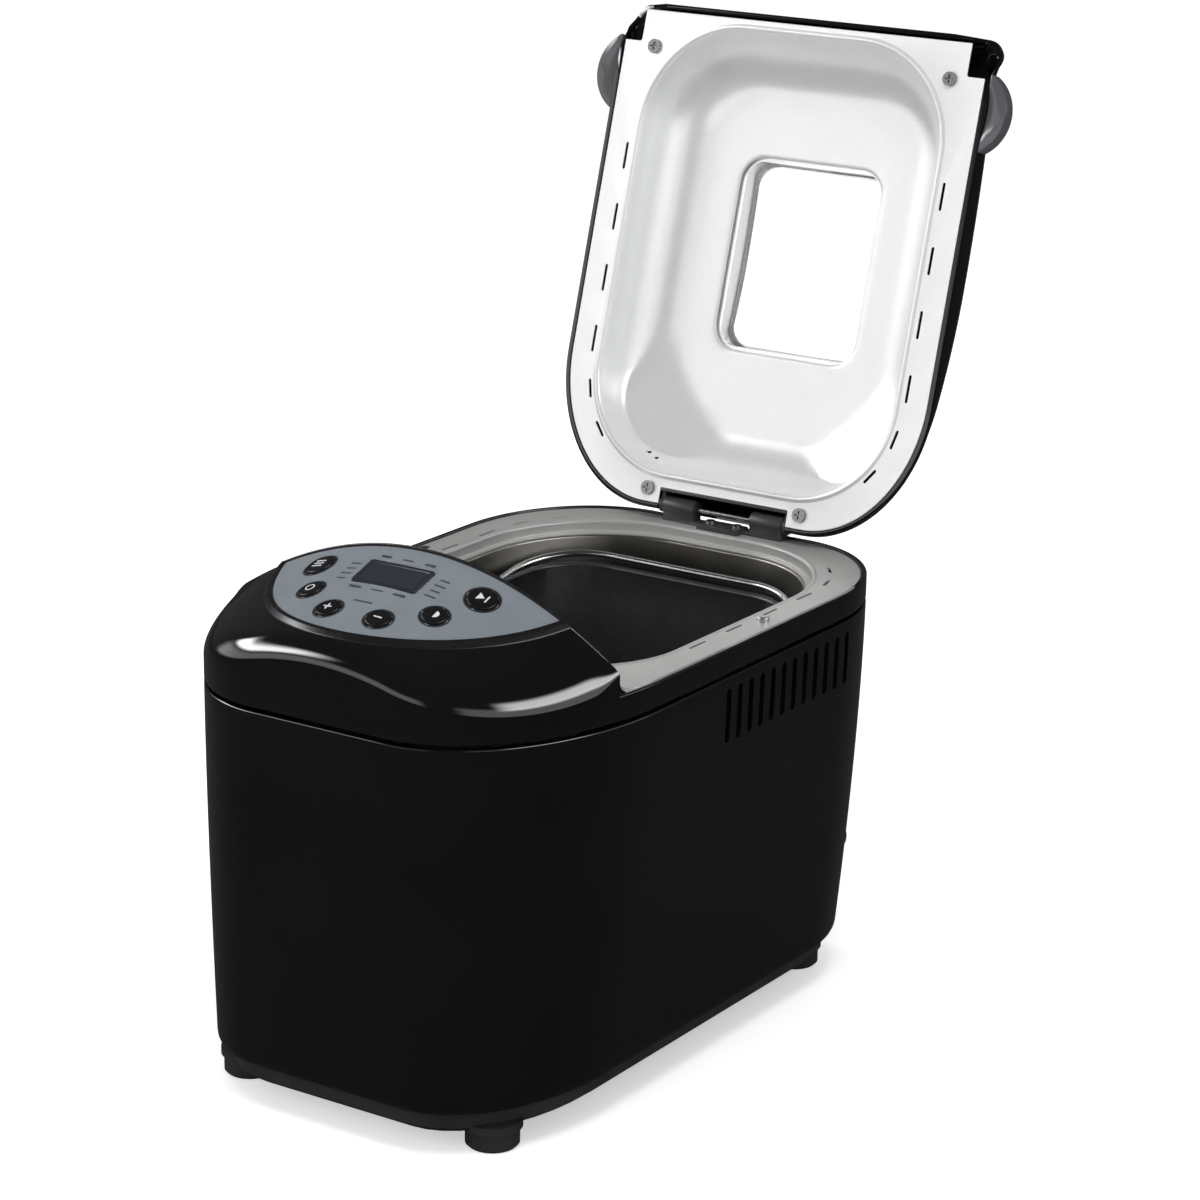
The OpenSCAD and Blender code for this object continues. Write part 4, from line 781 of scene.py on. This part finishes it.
def build_buttons(dome):
    """Six domed buttons, each turned about its axis, with a plain symbol on top."""
    for name, x, y, r in BUTTONS:
        rho = np.linspace(r - 0.75, 0, 9)
        cap = np.column_stack([rho, 1.62 + dome * (1 - (rho / r) ** 2)])
        side = rounded([(r + 1.2, -5.6), (r + 1.2, -5.0), (r, -5.0), (r, 1.62), (r - 0.8, 1.64)], [0, 0, 0, 0.6, 0])
        profile = np.vstack([[(0, -6.4)], [(r, -6.4), (r, -5.6)], side, cap])
        body = "button_" + name
        button = make(body + "_cap", placed(revolve(profile), on_panel(x, y)))
        settle(button, body, "button_black", dressed("button_black"), body)
        printed(body + "_mark", SYMBOLS[name], x, y, 1.3, 1.62 + dome + 0.03, body, "print_pale")


def build_panel_marks():
    """Thin rings round the buttons, and short dashes round the display and between plus and minus."""
    for name, x, y, r in BUTTONS:
        printed("panel_ring_" + name, ring_marks(r + 1.25, 0.5), x, y, 0.2, 0.56, "housing", "print_dark")
    x, y, w, h = DISPLAY
    side, row = w / 2 + 7.5, h / 2 + 3.2
    dashes = {
        "left": (-side, 0, [bar(0, 6.6 - 4.4 * k, 6.5 - k % 2, 1.1) for k in range(4)]),
        "right": (side, 0, [bar(0, 6.6 - 4.4 * k, 5.5 + k % 2, 1.1) for k in range(4)]),
        "above": (0, row, [bar(13 * k, 0, 6.0, 1.1) for k in (-1, 0, 1)]),
        "below": (0, -row, [bar(13 * k, 0, 7.0, 1.1) for k in (-1, 0, 1)]),
        "between": (-1, -22.5, [bar(0, 0, 11, 1.1)]),
    }
    for name, (dx, dy, marks) in dashes.items():
        printed("panel_dashes_" + name, marks, x + dx, y + dy, 0.0, 0.56, "housing", "print_grey")


def build_display():
    """The display's lens: a bevelled frame and a sunk pane."""
    x, y, w, h = DISPLAY
    frame_path = [(0, -3.0), (0, 0.2), (0.15, 0.5), (0.5, 0.65), (2.0, 0.65), (2.3, 0.4), (2.3, -1.5)]
    loops = [raised(rect_loop(0, 0, w - 2 * d, h - 2 * d, max(1.6 - d * 0.5, 0.5)), z) for d, z in frame_path]
    lens = make("display_lens_frame", placed(grid_mesh(loops, ring=True), on_panel(x, y)))
    settle(lens, "housing", "display_glass", dressed("lens_frame"), "display_window")
    pane_path = [(2.2, -1.6), (2.2, 0.35)]
    loops = [raised(rect_loop(0, 0, w - 2 * d, h - 2 * d, 0.6), z) for d, z in pane_path]
    part = grid_mesh(loops, foot=(0, 0, -1.6), head=(0, 0, 0.35))
    return settle(make("display_pane", placed(part, on_panel(x, y))), "housing", "display_glass",
                  dressed("display_dark"), "display_window")


def slot_tools(z0, z1, dy):
    """Closed tools for the slots beside the opening, given from the hinge axis and moved by dy."""
    ends = []
    for s in (-1, 1):
        ends += [((s * 100.5, -195.2 + 34.5 * i), (s * 100.5, -180.0 + 34.5 * i)) for i in range(4)]
        ends += [((s * 98.8, -61.5), (s * 96.2, -51.0)), ((s * 89.8, -38.6), (s * 83.8, -30.8))]
    move = Matrix.Translation((0, dy, 0))
    return [placed(prism(slot_loop(p, q, 1.7), z0, z1), move) for p, q in ends]


def build_deck():
    """The metal deck: a flat sheet from its edge to the oven's mouth, a bead, a step down and a ledge."""
    outer = rounded([(0.2, 222.6), (0.2, DECK_Z), (2, DECK_Z)], [0, 0.5, 0])
    mouth = rounded([(-3.6, DECK_Z), (-2.9, DECK_Z), (-1.5, DECK_Z + 0.7), (0, DECK_Z - 0.4), (0, 218.4),
                     (3.4, 218.4), (3.4, 217.05), (-1.3, 217.05), (-1.3, 222.6)],
                    [0, 0.8, 1.0, 1.0, 0.5, 0.4, 0.2, 0, 0])
    rings = swept(deck_plan, outer) + swept(oven_plan, mouth)
    deck = make("deck_sheet", grid_mesh(rings, ring=True))
    cut(deck, *slot_tools(220.5, 227, HINGE.y))
    settle(deck, "housing", "aluminium_sheet", dressed("deck_metal"), "deck_flange")
    for s in (-1, 1):
        stud = rounded([(0, 223.5), (3.2, 223.5), (3.2, 226.6), (0, 226.8)], [0, 0, 0.9, 0])
        part = placed(revolve(stud, 48), Matrix.Translation((s * 106, HINGE.y - 134, 0)))
        settle(make("deck_stud_" + side_name(s), part), "housing", "steel_plated", dressed("plated_steel"),
               "lid_bumpers")
    return deck


def build_oven():
    """The oven chamber: the opening's outline swept down to a rounded floor with a hole in it."""
    path = rounded([(20, OVEN_Z), (3, OVEN_Z), (3, 215.8), (0, 215.8), (0, OVEN_TOP), (4.2, OVEN_TOP),
                    (4.2, OVEN_Z + 1.2), (20, OVEN_Z + 1.2)], [0, 9, 0, 0, 0, 1.0, 8, 0])
    rings = swept(oven_plan, dense(path, 16))
    hole = round_hole(oven_plan(20), CENTRE, 22)
    rings = [raised(hole, OVEN_Z)] + rings + [raised(hole, OVEN_Z + 1.2)]
    return settle(make("oven_walls", grid_mesh(rings, ring=True)), "housing", "steel_oven", dressed("oven_steel"),
                  "oven_chamber")


def build_pan():
    """The bread pan: tapered walls, a rolled rim and a floor that turns up on a radius."""
    turn = np.radians(np.linspace(0, 90, 9))
    outer = [(0, 14 * (1 - math.sin(a)), PAN_Z + 14 * (1 - math.cos(a))) for a in turn]
    inner = [(0, 1.5 + 12.5 * (1 - math.sin(a)), PAN_Z + 1.5 + 12.5 * (1 - math.cos(a))) for a in turn]
    roll = [(1, 2.05 - 2.0 * math.cos(v), PAN_TOP - 2 + 2.0 * math.sin(v))
            for v in np.radians(np.linspace(-75, 165, 15))]
    wall = [(f, 2.2 * f, 92 + (PAN_TOP - 4.6 - 92) * f) for f in np.linspace(0, 1, 8)[1:]]
    lining = [(f, 1.5 + 2.2 * f, 92 + (PAN_TOP - 2 - 92) * f) for f in np.linspace(0, 1, 8)[1:]]
    path = outer + wall + roll + lining[::-1] + inner[::-1]
    rings = [raised(pan_plan(t, d), z) for t, d, z in path]
    hole = round_hole(pan_plan(0, 14), CENTRE, 9)
    rings = [raised(hole, PAN_Z)] + rings + [raised(hole, PAN_Z + 1.5)]
    return settle(make("bread_pan_body", grid_mesh(rings, ring=True)), "pan", "nonstick", dressed("nonstick"),
                  "bread_pan")


def open_lid(obj):
    """Turns a piece that was drawn closed about the hinge axis to where the open lid stands."""
    obj.data.transform(Matrix.Translation(HINGE * MM) @ Matrix.Rotation(math.radians(-OPEN_ANGLE), 4, "X"))
    return obj


def lid_rim(p):
    """Height of the lid's lower edge: it lifts by 11 mm at the two front corners."""
    lift = smooth((np.abs(p[:, 0]) - 98) / 9) * smooth((-252 - p[:, 1]) / 16)
    return LID_RIM + 11.0 * lift


def dome_side(d, roundness):
    """One side of the dome from its lower edge to the window: wall, quarter-round shoulder and crown, drawn in
    and lowered by d. It is nowhere less than 5 mm over the edge."""
    base = lid_plan(d)
    low = lid_rim(base)

    def crest(p, sink, least):
        return soft_max(lid_top(p[:, 0], p[:, 1]) - sink, lid_rim(p) + least) - d

    top = crest(base, roundness, 3.0)
    rings = [raised(base, low + (top - low) * f) for f in (0.15, 0.4, 0.7)]
    for a in np.radians(np.linspace(0, 90, 10)):
        p = lid_plan(d + roundness * (1 - math.cos(a)))
        rings.append(raised(p, crest(p, roundness * (1 - math.sin(a)), 3.0 + 2.0 * math.sin(a))))
    inner, window = lid_plan(d + roundness), window_plan(-3, 12)
    for f in np.linspace(0, 1, 22)[1:]:
        p = inner + (window - inner) * f
        rings.append(raised(p, crest(p, 0, 5.0)))
    return rings


def build_lid_shell(roundness):
    """The lid's dome, open at the window, with an outer and an inner side 2.5 mm apart."""
    low = lid_rim(lid_plan(0))
    edge = [raised(lid_plan(2.5), low), raised(lid_plan(0.5), low), raised(lid_plan(0.12), low + 0.2)]
    rings = edge + dome_side(0, roundness) + dome_side(2.5, roundness - 2)[::-1]
    shell = make("lid_shell_dome", grid_mesh(rings, ring=True))
    cut(shell, prism(rect_loop(0, -2, HINGE_W, 20, 1), -9, 9))
    return settle(open_lid(shell), "lid", "black_gloss", dressed("gloss_black"), "lid_shell")


def liner_plan(d):
    """The liner's outline, drawn in by d."""
    return plan(113.4 - d, LID_FRONT + 4 + d, 0.2 - d, 10, 10, 63 - d, 77 - d)


def bowl_side(out, lift):
    """The bowl's rings from its mouth to the window, moved outwards and up: a quarter ellipse, then its bottom
    and the lip that turns up to the window."""
    face = LID_RIM
    rings = []
    for a in np.radians(np.linspace(4, 90, 20)):
        p = bowl_plan(30 * (1 - math.cos(a)) - out)
        rings.append(raised(p, bowl_height(p, face + 0.6 + (BOWL_DEPTH - 0.6) * math.sin(a)) + lift))
    bottom, window = bowl_plan(30 - out), window_plan(2.2, 16)
    for f in np.linspace(0, 1, 8)[1:]:
        p = bottom + (window - bottom) * f
        rings.append(raised(p, bowl_height(p, face + BOWL_DEPTH) + lift))
    for grow, h in ((1.2, 0.15), (0.5, 0.5), (0.2, 1.0)):
        p = window_plan(grow + out, 15)
        rings.append(raised(p, bowl_height(p, face + BOWL_DEPTH) + h + 0.6 * lift))
    return rings


def build_lid_liner():
    """The lid's metal liner: a flat flange with a bead round the bowl, as one sheet with a back and a face."""
    face = LID_RIM
    back = swept(liner_plan, [(0.3, face + 0.6), (1.2, face + 0.7)]) + [raised(bowl_plan(-4.4), face + 0.7)]
    edge = swept(liner_plan, [(0, face + 0.3), (0.35, face), (1.2, face)])
    bead = [(-4.2, 0), (-3.6, -0.1), (-2.9, -0.55), (-2.0, -0.8), (-1.1, -0.55), (-0.5, 0.1)]
    front = edge + [raised(bowl_plan(d), face + h) for d, h in bead] + bowl_side(0, 0)
    liner = make("lid_liner_sheet", grid_mesh(back + bowl_side(0.8, 0.7) + front[::-1], ring=True))
    notches = [prism(rect_loop(s * 115.5, -264, 26, 24, 1.5), face - 3, face + 6) for s in (-1, 1)]
    vents = [prism(arc(x, y, 1.1, 0.7, 0, 345, 24), face + 2, face + 30) for x, y in BOWL_VENTS]
    hinge = prism(rect_loop(0, 1, HINGE_W, 20, 1), face - 3, face + 6)
    cut(liner, *slot_tools(face - 3, face + 4, 0), *notches, *vents, hinge)
    return settle(open_lid(liner), "lid", "aluminium_sheet", dressed("liner_metal"), "lid_liner")


def bowl_height(p, z):
    """The bowl's height, held under the dome."""
    return np.minimum(z, lid_top(p[:, 0], p[:, 1]) - LID_T - 1 - LINER_T)


def pane_height(x, y):
    """The flat height field under the inner pane."""
    return np.full(np.shape(x), LID_RIM + BOWL_DEPTH + LINER_T + 0.15)


def build_window():
    """Two panes: the outer one follows the dome, the inner one is flat."""
    centre, glass = (0.0, WINDOW_Y), clear_glass("window_clear")
    outer = draped(lambda d: window_plan(-3.4 - d, 11.6), centre, lid_top, -2.6, 0.0)
    settle(open_lid(make("lid_window_outer", outer)), "lid", "window_glass", glass, "outer_window")
    inner = draped(lambda d: window_plan(3.6 - d, 11.8), centre, pane_height, 0.0, 2.8, edge=0.4, fills=4)
    return settle(open_lid(make("lid_window_inner", inner)), "lid", "window_glass", glass, "inner_window")


def bevelled(name, body, slot, material, width):
    """A CAD node's mesh with its loose triangles merged and its edges rounded by a bevel."""
    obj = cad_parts[name].copy()
    obj.data = obj.data.copy()
    obj.name = name + "_rounded"
    bpy.context.scene.collection.objects.link(obj)
    bm = bmesh.new()
    bm.from_mesh(obj.data)
    bmesh.ops.remove_doubles(bm, verts=bm.verts, dist=1e-6)
    bmesh.ops.dissolve_limit(bm, angle_limit=math.radians(0.4), verts=bm.verts, edges=bm.edges)
    bm.to_mesh(obj.data)
    bm.free()
    step = obj.modifiers.new("edges", "BEVEL")
    step.width, step.segments = width * MM, 2
    step.limit_method, step.angle_limit = "ANGLE", math.radians(34)
    bake_modifiers(obj)
    return settle(obj, body, slot, material, name)


# Finishes of the CAD nodes that keep their own mesh
KEPT = {
    "base_plate": "matte_black", "rubber_feet": "rubber_black", "base_screws": "plated_steel",
    "cord_gland": "matte_black", "display_module": "matte_black", "circuit_board": "board_green",
    "power_board": "board_green", "heat_shield": "deck_metal", "heating_element": "heater_tube",
    "heater_bushings": "ceramic_white", "temperature_sensor": "bright_steel", "pan_clips": "plated_steel",
    "frame_screws": "plated_steel", "shaft_bushes": "bronze", "motor_stator": "plated_steel",
    "motor_coils": "copper_wire", "drive_belt": "rubber_black", "hinge_screws": "plated_steel",
    "window_frame": "liner_metal", "lid_screws": "screw_steel", "hinge_pin": "bright_steel",
    "drive_shaft": "bright_steel", "shaft_clip": "plated_steel", "motor_rotor": "plated_steel",
    "motor_pulley": "nylon", "large_pulley": "nylon", "pan_bush": "bronze", "pan_seal": "seal_red",
    "bail_handle": "bright_steel", "pan_shaft": "bright_steel",
}

# CAD nodes whose edges are rounded: body, slot, finish and bevel in millimetres
ROUNDED = {
    "hinge_bracket": ("housing", "hinge_grey", "hinge_grey", 0.5),
    "hinge_frame": ("lid", "hinge_grey", "hinge_grey", 0.4),
    "lid_grips": ("lid", "grip_grey", "grip_smoke", 0.9),
    "pan_socket": ("housing", "aluminium_cast", "cast_metal", 0.4),
    "pan_base": ("pan", "aluminium_cast", "cast_metal", 0.6),
    "bail_ears": ("pan", "steel_plated", "plated_steel", 0.4),
    "pan_coupling": ("pan_drive", "aluminium_cast", "cast_metal", 0.4),
    "kneading_paddle": ("paddle", "nonstick_cast", "nonstick", 0.8),
    "drive_coupling": ("drive", "aluminium_cast", "cast_metal", 0.4),
    "drive_frame": ("housing", "aluminium_cast", "cast_metal", 0.5),
    "motor_brackets": ("housing", "steel_plated", "plated_steel", 0.4),
}


# ---- Stage ----

FLOOR_HALF, FLOOR_GLOW, GLASS_WHITE = 9000.0, 0.48, 1.1

# Bright patches of the room in reflections: azimuth and half width in degrees, lowest and highest direction
# (as a share of straight up), strength, and whether the strength is a share of the window's
PATCHES = (
    (200, 20, 0.34, 0.48, 1.0, True),
    (2, 14, 0.24, 0.5, 0.6, True),
    (226, 48, 0.0, 0.25, 1.0, False),
    (2, 42, -0.1, 0.3, 0.9, False),
)

# Lamps: name, place, target and width in metres, and power as a share of the key lamp's
LAMPS = (
    ("overhead", (0.5, -0.6, 1.75), (0, -0.05, 0.15), 0.5, 1.0),
    ("back_left", (-1.6, 0.6, 1.0), (0, -0.1, 0.2), 0.45, 0.8),
    ("front_fill", (-0.5, -2.0, 0.9), (0, 0, 0.3), 1.5, 1.5),
)


def build_floor(mirrored):
    """A flat floor: white with shadows to the camera, plain white through glass, and darker in reflections."""
    k = np.arange(16).reshape(4, 4)[:3, :3].ravel()
    x, y = np.meshgrid(*[np.linspace(-FLOOR_HALF, FLOOR_HALF, 4)] * 2)
    verts = np.column_stack([x.ravel(), y.ravel(), np.zeros(16)])
    floor = make("floor", (verts, np.column_stack([k, k + 1, k + 5, k + 4]).tolist()))
    m = finish("floor_white", (0.88, 0.88, 0.88), (0.9, 0.9, 0.9), (0.8, 0.9), specular=0.0, grain=40.0)
    tree = m.node_tree
    shader, out = tree.nodes["Principled BSDF"], tree.nodes["Material Output"]
    path = node(tree, "LightPath")
    shader.inputs["Emission Color"].default_value = (1, 1, 1, 1)
    tree.links.new(calc(tree, "MULTIPLY", path.outputs["Is Camera Ray"], FLOOR_GLOW),
                   shader.inputs["Emission Strength"])
    dim = node(tree, "BsdfDiffuse", {"Color": (mirrored, mirrored, mirrored, 1)})
    mix = node(tree, "MixShader", {0: path.outputs["Is Glossy Ray"], 1: shader.outputs[0], 2: dim.outputs[0]})
    white = node(tree, "Emission", {"Color": (1, 1, 1, 1), "Strength": GLASS_WHITE})
    last = node(tree, "MixShader", {0: path.outputs["Is Transmission Ray"], 1: mix.outputs[0], 2: white.outputs[0]})
    tree.links.new(last.outputs[0], out.inputs["Surface"])
    floor.data.materials.append(m)
    return floor


def bright_side(tree, way, azimuth, width, low, high):
    """A soft-edged bright patch of a room: full within width degrees of an azimuth, between two heights.

    It fades over 14 degrees at its sides, over 0.1 below it and over 0.14 above it."""
    level = node(tree, "VectorMath", {0: way, 1: (1, 1, 0)}, operation="MULTIPLY")
    flat = node(tree, "VectorMath", {0: level.outputs[0]}, operation="NORMALIZE")
    a = math.radians(azimuth)
    turn = node(tree, "VectorMath", {0: flat.outputs[0], 1: (math.cos(a), math.sin(a), 0)}, operation="DOT_PRODUCT")
    z = node(tree, "SeparateXYZ", {0: way}).outputs["Z"]
    near, far = math.cos(math.radians(width)), math.cos(math.radians(width + 14))
    ramps = ((turn.outputs["Value"], far, near), (z, low, low + 0.1), (z, high + 0.14, high))
    parts = [node(tree, "MapRange", {"Value": value, "From Min": start, "From Max": end},
                  interpolation_type="SMOOTHSTEP").outputs["Result"] for value, start, end in ramps]
    return calc(tree, "MULTIPLY", calc(tree, "MULTIPLY", *parts[:2]), parts[2])


def build_world(fill, dim, bright):
    """A room: white where it is seen straight or through glass, a soft fill for diffuse light, and in
    reflections a dim room with a window and a pale wall on the left and on the right."""
    world = bpy.data.worlds.new("soft_room")
    bpy.context.scene.world = world
    world.use_nodes = True
    tree = world.node_tree
    tree.nodes.clear()
    path = node(tree, "LightPath")
    way = node(tree, "TexCoord").outputs["Generated"]
    level = dim
    for azimuth, width, low, high, strength, window in PATCHES:
        patch = bright_side(tree, way, azimuth, width, low, high)
        level = calc(tree, "MULTIPLY_ADD", patch, strength * (bright if window else 1.0), level)
    room, mirror, seen = (node(tree, "Background", {"Color": (1, 1, 1, 1), "Strength": strength}).outputs[0]
                          for strength in (fill, level, 1.0))
    first = node(tree, "MixShader", {0: path.outputs["Is Glossy Ray"], 1: room, 2: mirror})
    clear = calc(tree, "MAXIMUM", path.outputs["Is Camera Ray"], path.outputs["Is Transmission Ray"])
    last = node(tree, "MixShader", {0: clear, 1: first.outputs[0], 2: seen})
    out = tree.nodes.new("ShaderNodeOutputWorld")
    tree.links.new(last.outputs[0], out.inputs["Surface"])


def add_lamp(name, place, target, size, power):
    """A square area lamp at a place, turned to face a target, in metres. Gloss doesn't show it."""
    lamp = bpy.data.lights.new(name, "AREA")
    lamp.shape, lamp.size, lamp.energy = "SQUARE", size, power
    obj = bpy.data.objects.new(name, lamp)
    obj.visible_glossy = False
    obj.location = place
    obj.rotation_euler = (Vector(target) - Vector(place)).to_track_quat("-Z", "Y").to_euler()
    bpy.context.scene.collection.objects.link(obj)
    return obj


def add_camera(place, azimuth, elevation, roll, lens):
    """A camera by its place, its direction as azimuth and elevation, and its roll about the view axis."""
    az, el, turn = math.radians(azimuth), math.radians(elevation), math.radians(roll)
    back = Vector((math.sin(az) * math.cos(el), -math.cos(az) * math.cos(el), math.sin(el)))
    right = (-back).cross(Vector((0, 0, 1))).normalized()
    up = back.cross(right)
    axes = Matrix((right * math.cos(turn) + up * math.sin(turn), up * math.cos(turn) - right * math.sin(turn), back))
    data = bpy.data.cameras.new("view")
    data.lens, data.sensor_width, data.clip_end = lens, 36.0, 100.0
    camera = bpy.data.objects.new("view", data)
    camera.matrix_world = Matrix.Translation(place) @ axes.transposed().to_4x4()
    bpy.context.scene.collection.objects.link(camera)
    bpy.context.scene.camera = camera
    return camera


# ---- Settings, operators and panel ----


def length(name, default, text):
    """A setting in millimetres."""
    return FloatProperty(name=name, default=default, min=0.0, soft_max=20.0, description=text + ", in millimetres")


class MachineShape(bpy.types.PropertyGroup):
    """Sizes of the edges, shoulders and beads that the machine's pieces are built with."""
    foot_edge: length("Foot rounding", 5.5, "Rounding along the housing's lower edge")
    hood_round: length("Hood shoulder", 10.0, "Rounding along the hood's upper edge")
    lid_round: length("Lid shoulder", 8.0, "Rounding along the lid's upper edge")
    bead: length("Panel surround", 1.9, "Height of the moulded bead round the panel")
    button_dome: length("Button dome", 0.35, "Rise of a button's top above its rim")


class MachineStage(bpy.types.PropertyGroup):
    """Light and camera."""
    fill: FloatProperty(name="Fill", default=0.6, min=0.0, description="Strength of the room's diffuse light")
    mirror: FloatProperty(name="Reflected room", default=0.045, min=0.0,
                          description="Strength of the room in reflections")
    window: FloatProperty(name="Reflected window", default=10.0, min=0.0,
                          description="Strength of the bright window in reflections")
    floor: FloatProperty(name="Reflected floor", default=0.04, min=0.0, max=1.0,
                         description="Tone of the floor in reflections")
    key: FloatProperty(name="Key lamp", default=9.0, min=0.0, unit="POWER", description="Power of the overhead lamp")
    azimuth: FloatProperty(name="Azimuth", default=33.42, description="Camera direction about Z, in degrees")
    elevation: FloatProperty(name="Elevation", default=16.84,
                             description="Camera direction above the floor, in degrees")
    roll: FloatProperty(name="Roll", default=0.87, description="Camera turn about its view axis, in degrees")
    lens: FloatProperty(name="Lens", default=112.1, min=10.0, description="Focal length in millimetres")
    place: FloatVectorProperty(name="Camera place", default=(1.0319, -1.5623, 0.7806), subtype="TRANSLATION",
                               unit="LENGTH", description="Where the camera stands")


class BuildStep(bpy.types.Operator):
    """Common ground of the steps that build a group of pieces."""
    bl_options = {"REGISTER", "UNDO"}

    def execute(self, context):
        self.build(context.scene.machine_shape)
        return {"FINISHED"}


class BuildHousing(BuildStep):
    """Build the lower shell and the cover's rim"""
    bl_idname = "machine.build_housing"
    bl_label = "Housing"

    def build(self, shape):
        build_lower_shell(shape.foot_edge)
        build_rim()


class BuildHood(BuildStep):
    """Build the control hood, its panel and the printed marks"""
    bl_idname = "machine.build_hood"
    bl_label = "Hood and panel"

    def build(self, shape):
        build_hood(shape.hood_round)
        for s in (-1, 1):
            build_hood_corner(s)
        build_panel(shape.bead)
        build_panel_marks()


class BuildControls(BuildStep):
    """Build the six buttons and the display"""
    bl_idname = "machine.build_controls"
    bl_label = "Buttons and display"

    def build(self, shape):
        build_buttons(shape.button_dome)
        build_display()


class BuildOven(BuildStep):
    """Build the deck, the oven chamber and the bread pan"""
    bl_idname = "machine.build_oven"
    bl_label = "Deck, oven and pan"

    def build(self, shape):
        build_deck()
        build_oven()
        build_pan()


class BuildLid(BuildStep):
    """Build the lid's shell, liner and window"""
    bl_idname = "machine.build_lid"
    bl_label = "Lid"

    def build(self, shape):
        build_lid_shell(shape.lid_round)
        build_lid_liner()
        build_window()


class DressParts(BuildStep):
    """Round the edges of the cast and pressed parts, and give every other part its finish"""
    bl_idname = "machine.dress_parts"
    bl_label = "Other parts"

    def build(self, shape):
        for name, (body, slot, material, width) in ROUNDED.items():
            bevelled(name, body, slot, dressed(material), width)
        for name, material in KEPT.items():
            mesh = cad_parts[name].data
            mesh.materials.clear()
            mesh.materials.append(dressed(material))


class BuildStage(bpy.types.Operator):
    """Set up the camera, the floor, the room and the lamps"""
    bl_idname = "machine.build_stage"
    bl_label = "Stage"
    bl_options = {"REGISTER", "UNDO"}

    def execute(self, context):
        stage = context.scene.machine_stage
        add_camera(stage.place, stage.azimuth, stage.elevation, stage.roll, stage.lens)
        build_floor(stage.floor)
        build_world(stage.fill, stage.mirror, stage.window)
        for name, place, target, size, share in LAMPS:
            add_lamp(name, place, target, size, stage.key * share)
        context.scene.view_settings.view_transform = "Standard"
        return {"FINISHED"}


STEPS = (BuildHousing, BuildHood, BuildControls, BuildOven, BuildLid, DressParts, BuildStage)


class MachinePanel(bpy.types.Panel):
    """Sizes and steps of the machine in the 3D view's sidebar"""
    bl_idname = "VIEW3D_PT_machine"
    bl_label = "Bread machine"
    bl_space_type = "VIEW_3D"
    bl_region_type = "UI"
    bl_category = "Bread machine"

    def draw(self, context):
        for group in (context.scene.machine_shape, context.scene.machine_stage):
            box = self.layout.box()
            for key in group.bl_rna.properties.keys():
                if key not in ("rna_type", "name"):
                    box.prop(group, key)
        for step in STEPS:
            self.layout.operator(step.bl_idname)


CLASSES = (MachineShape, MachineStage, *STEPS, MachinePanel)


def register():
    for cls in CLASSES:
        bpy.utils.register_class(cls)
    bpy.types.Scene.machine_shape = PointerProperty(type=MachineShape)
    bpy.types.Scene.machine_stage = PointerProperty(type=MachineStage)


def unregister():
    del bpy.types.Scene.machine_stage
    del bpy.types.Scene.machine_shape
    for cls in reversed(CLASSES):
        bpy.utils.unregister_class(cls)


def main():
    register()
    for step in STEPS:
        group, action = step.bl_idname.split(".")
        getattr(getattr(bpy.ops, group), action)()


if __name__ == "__main__":
    main()
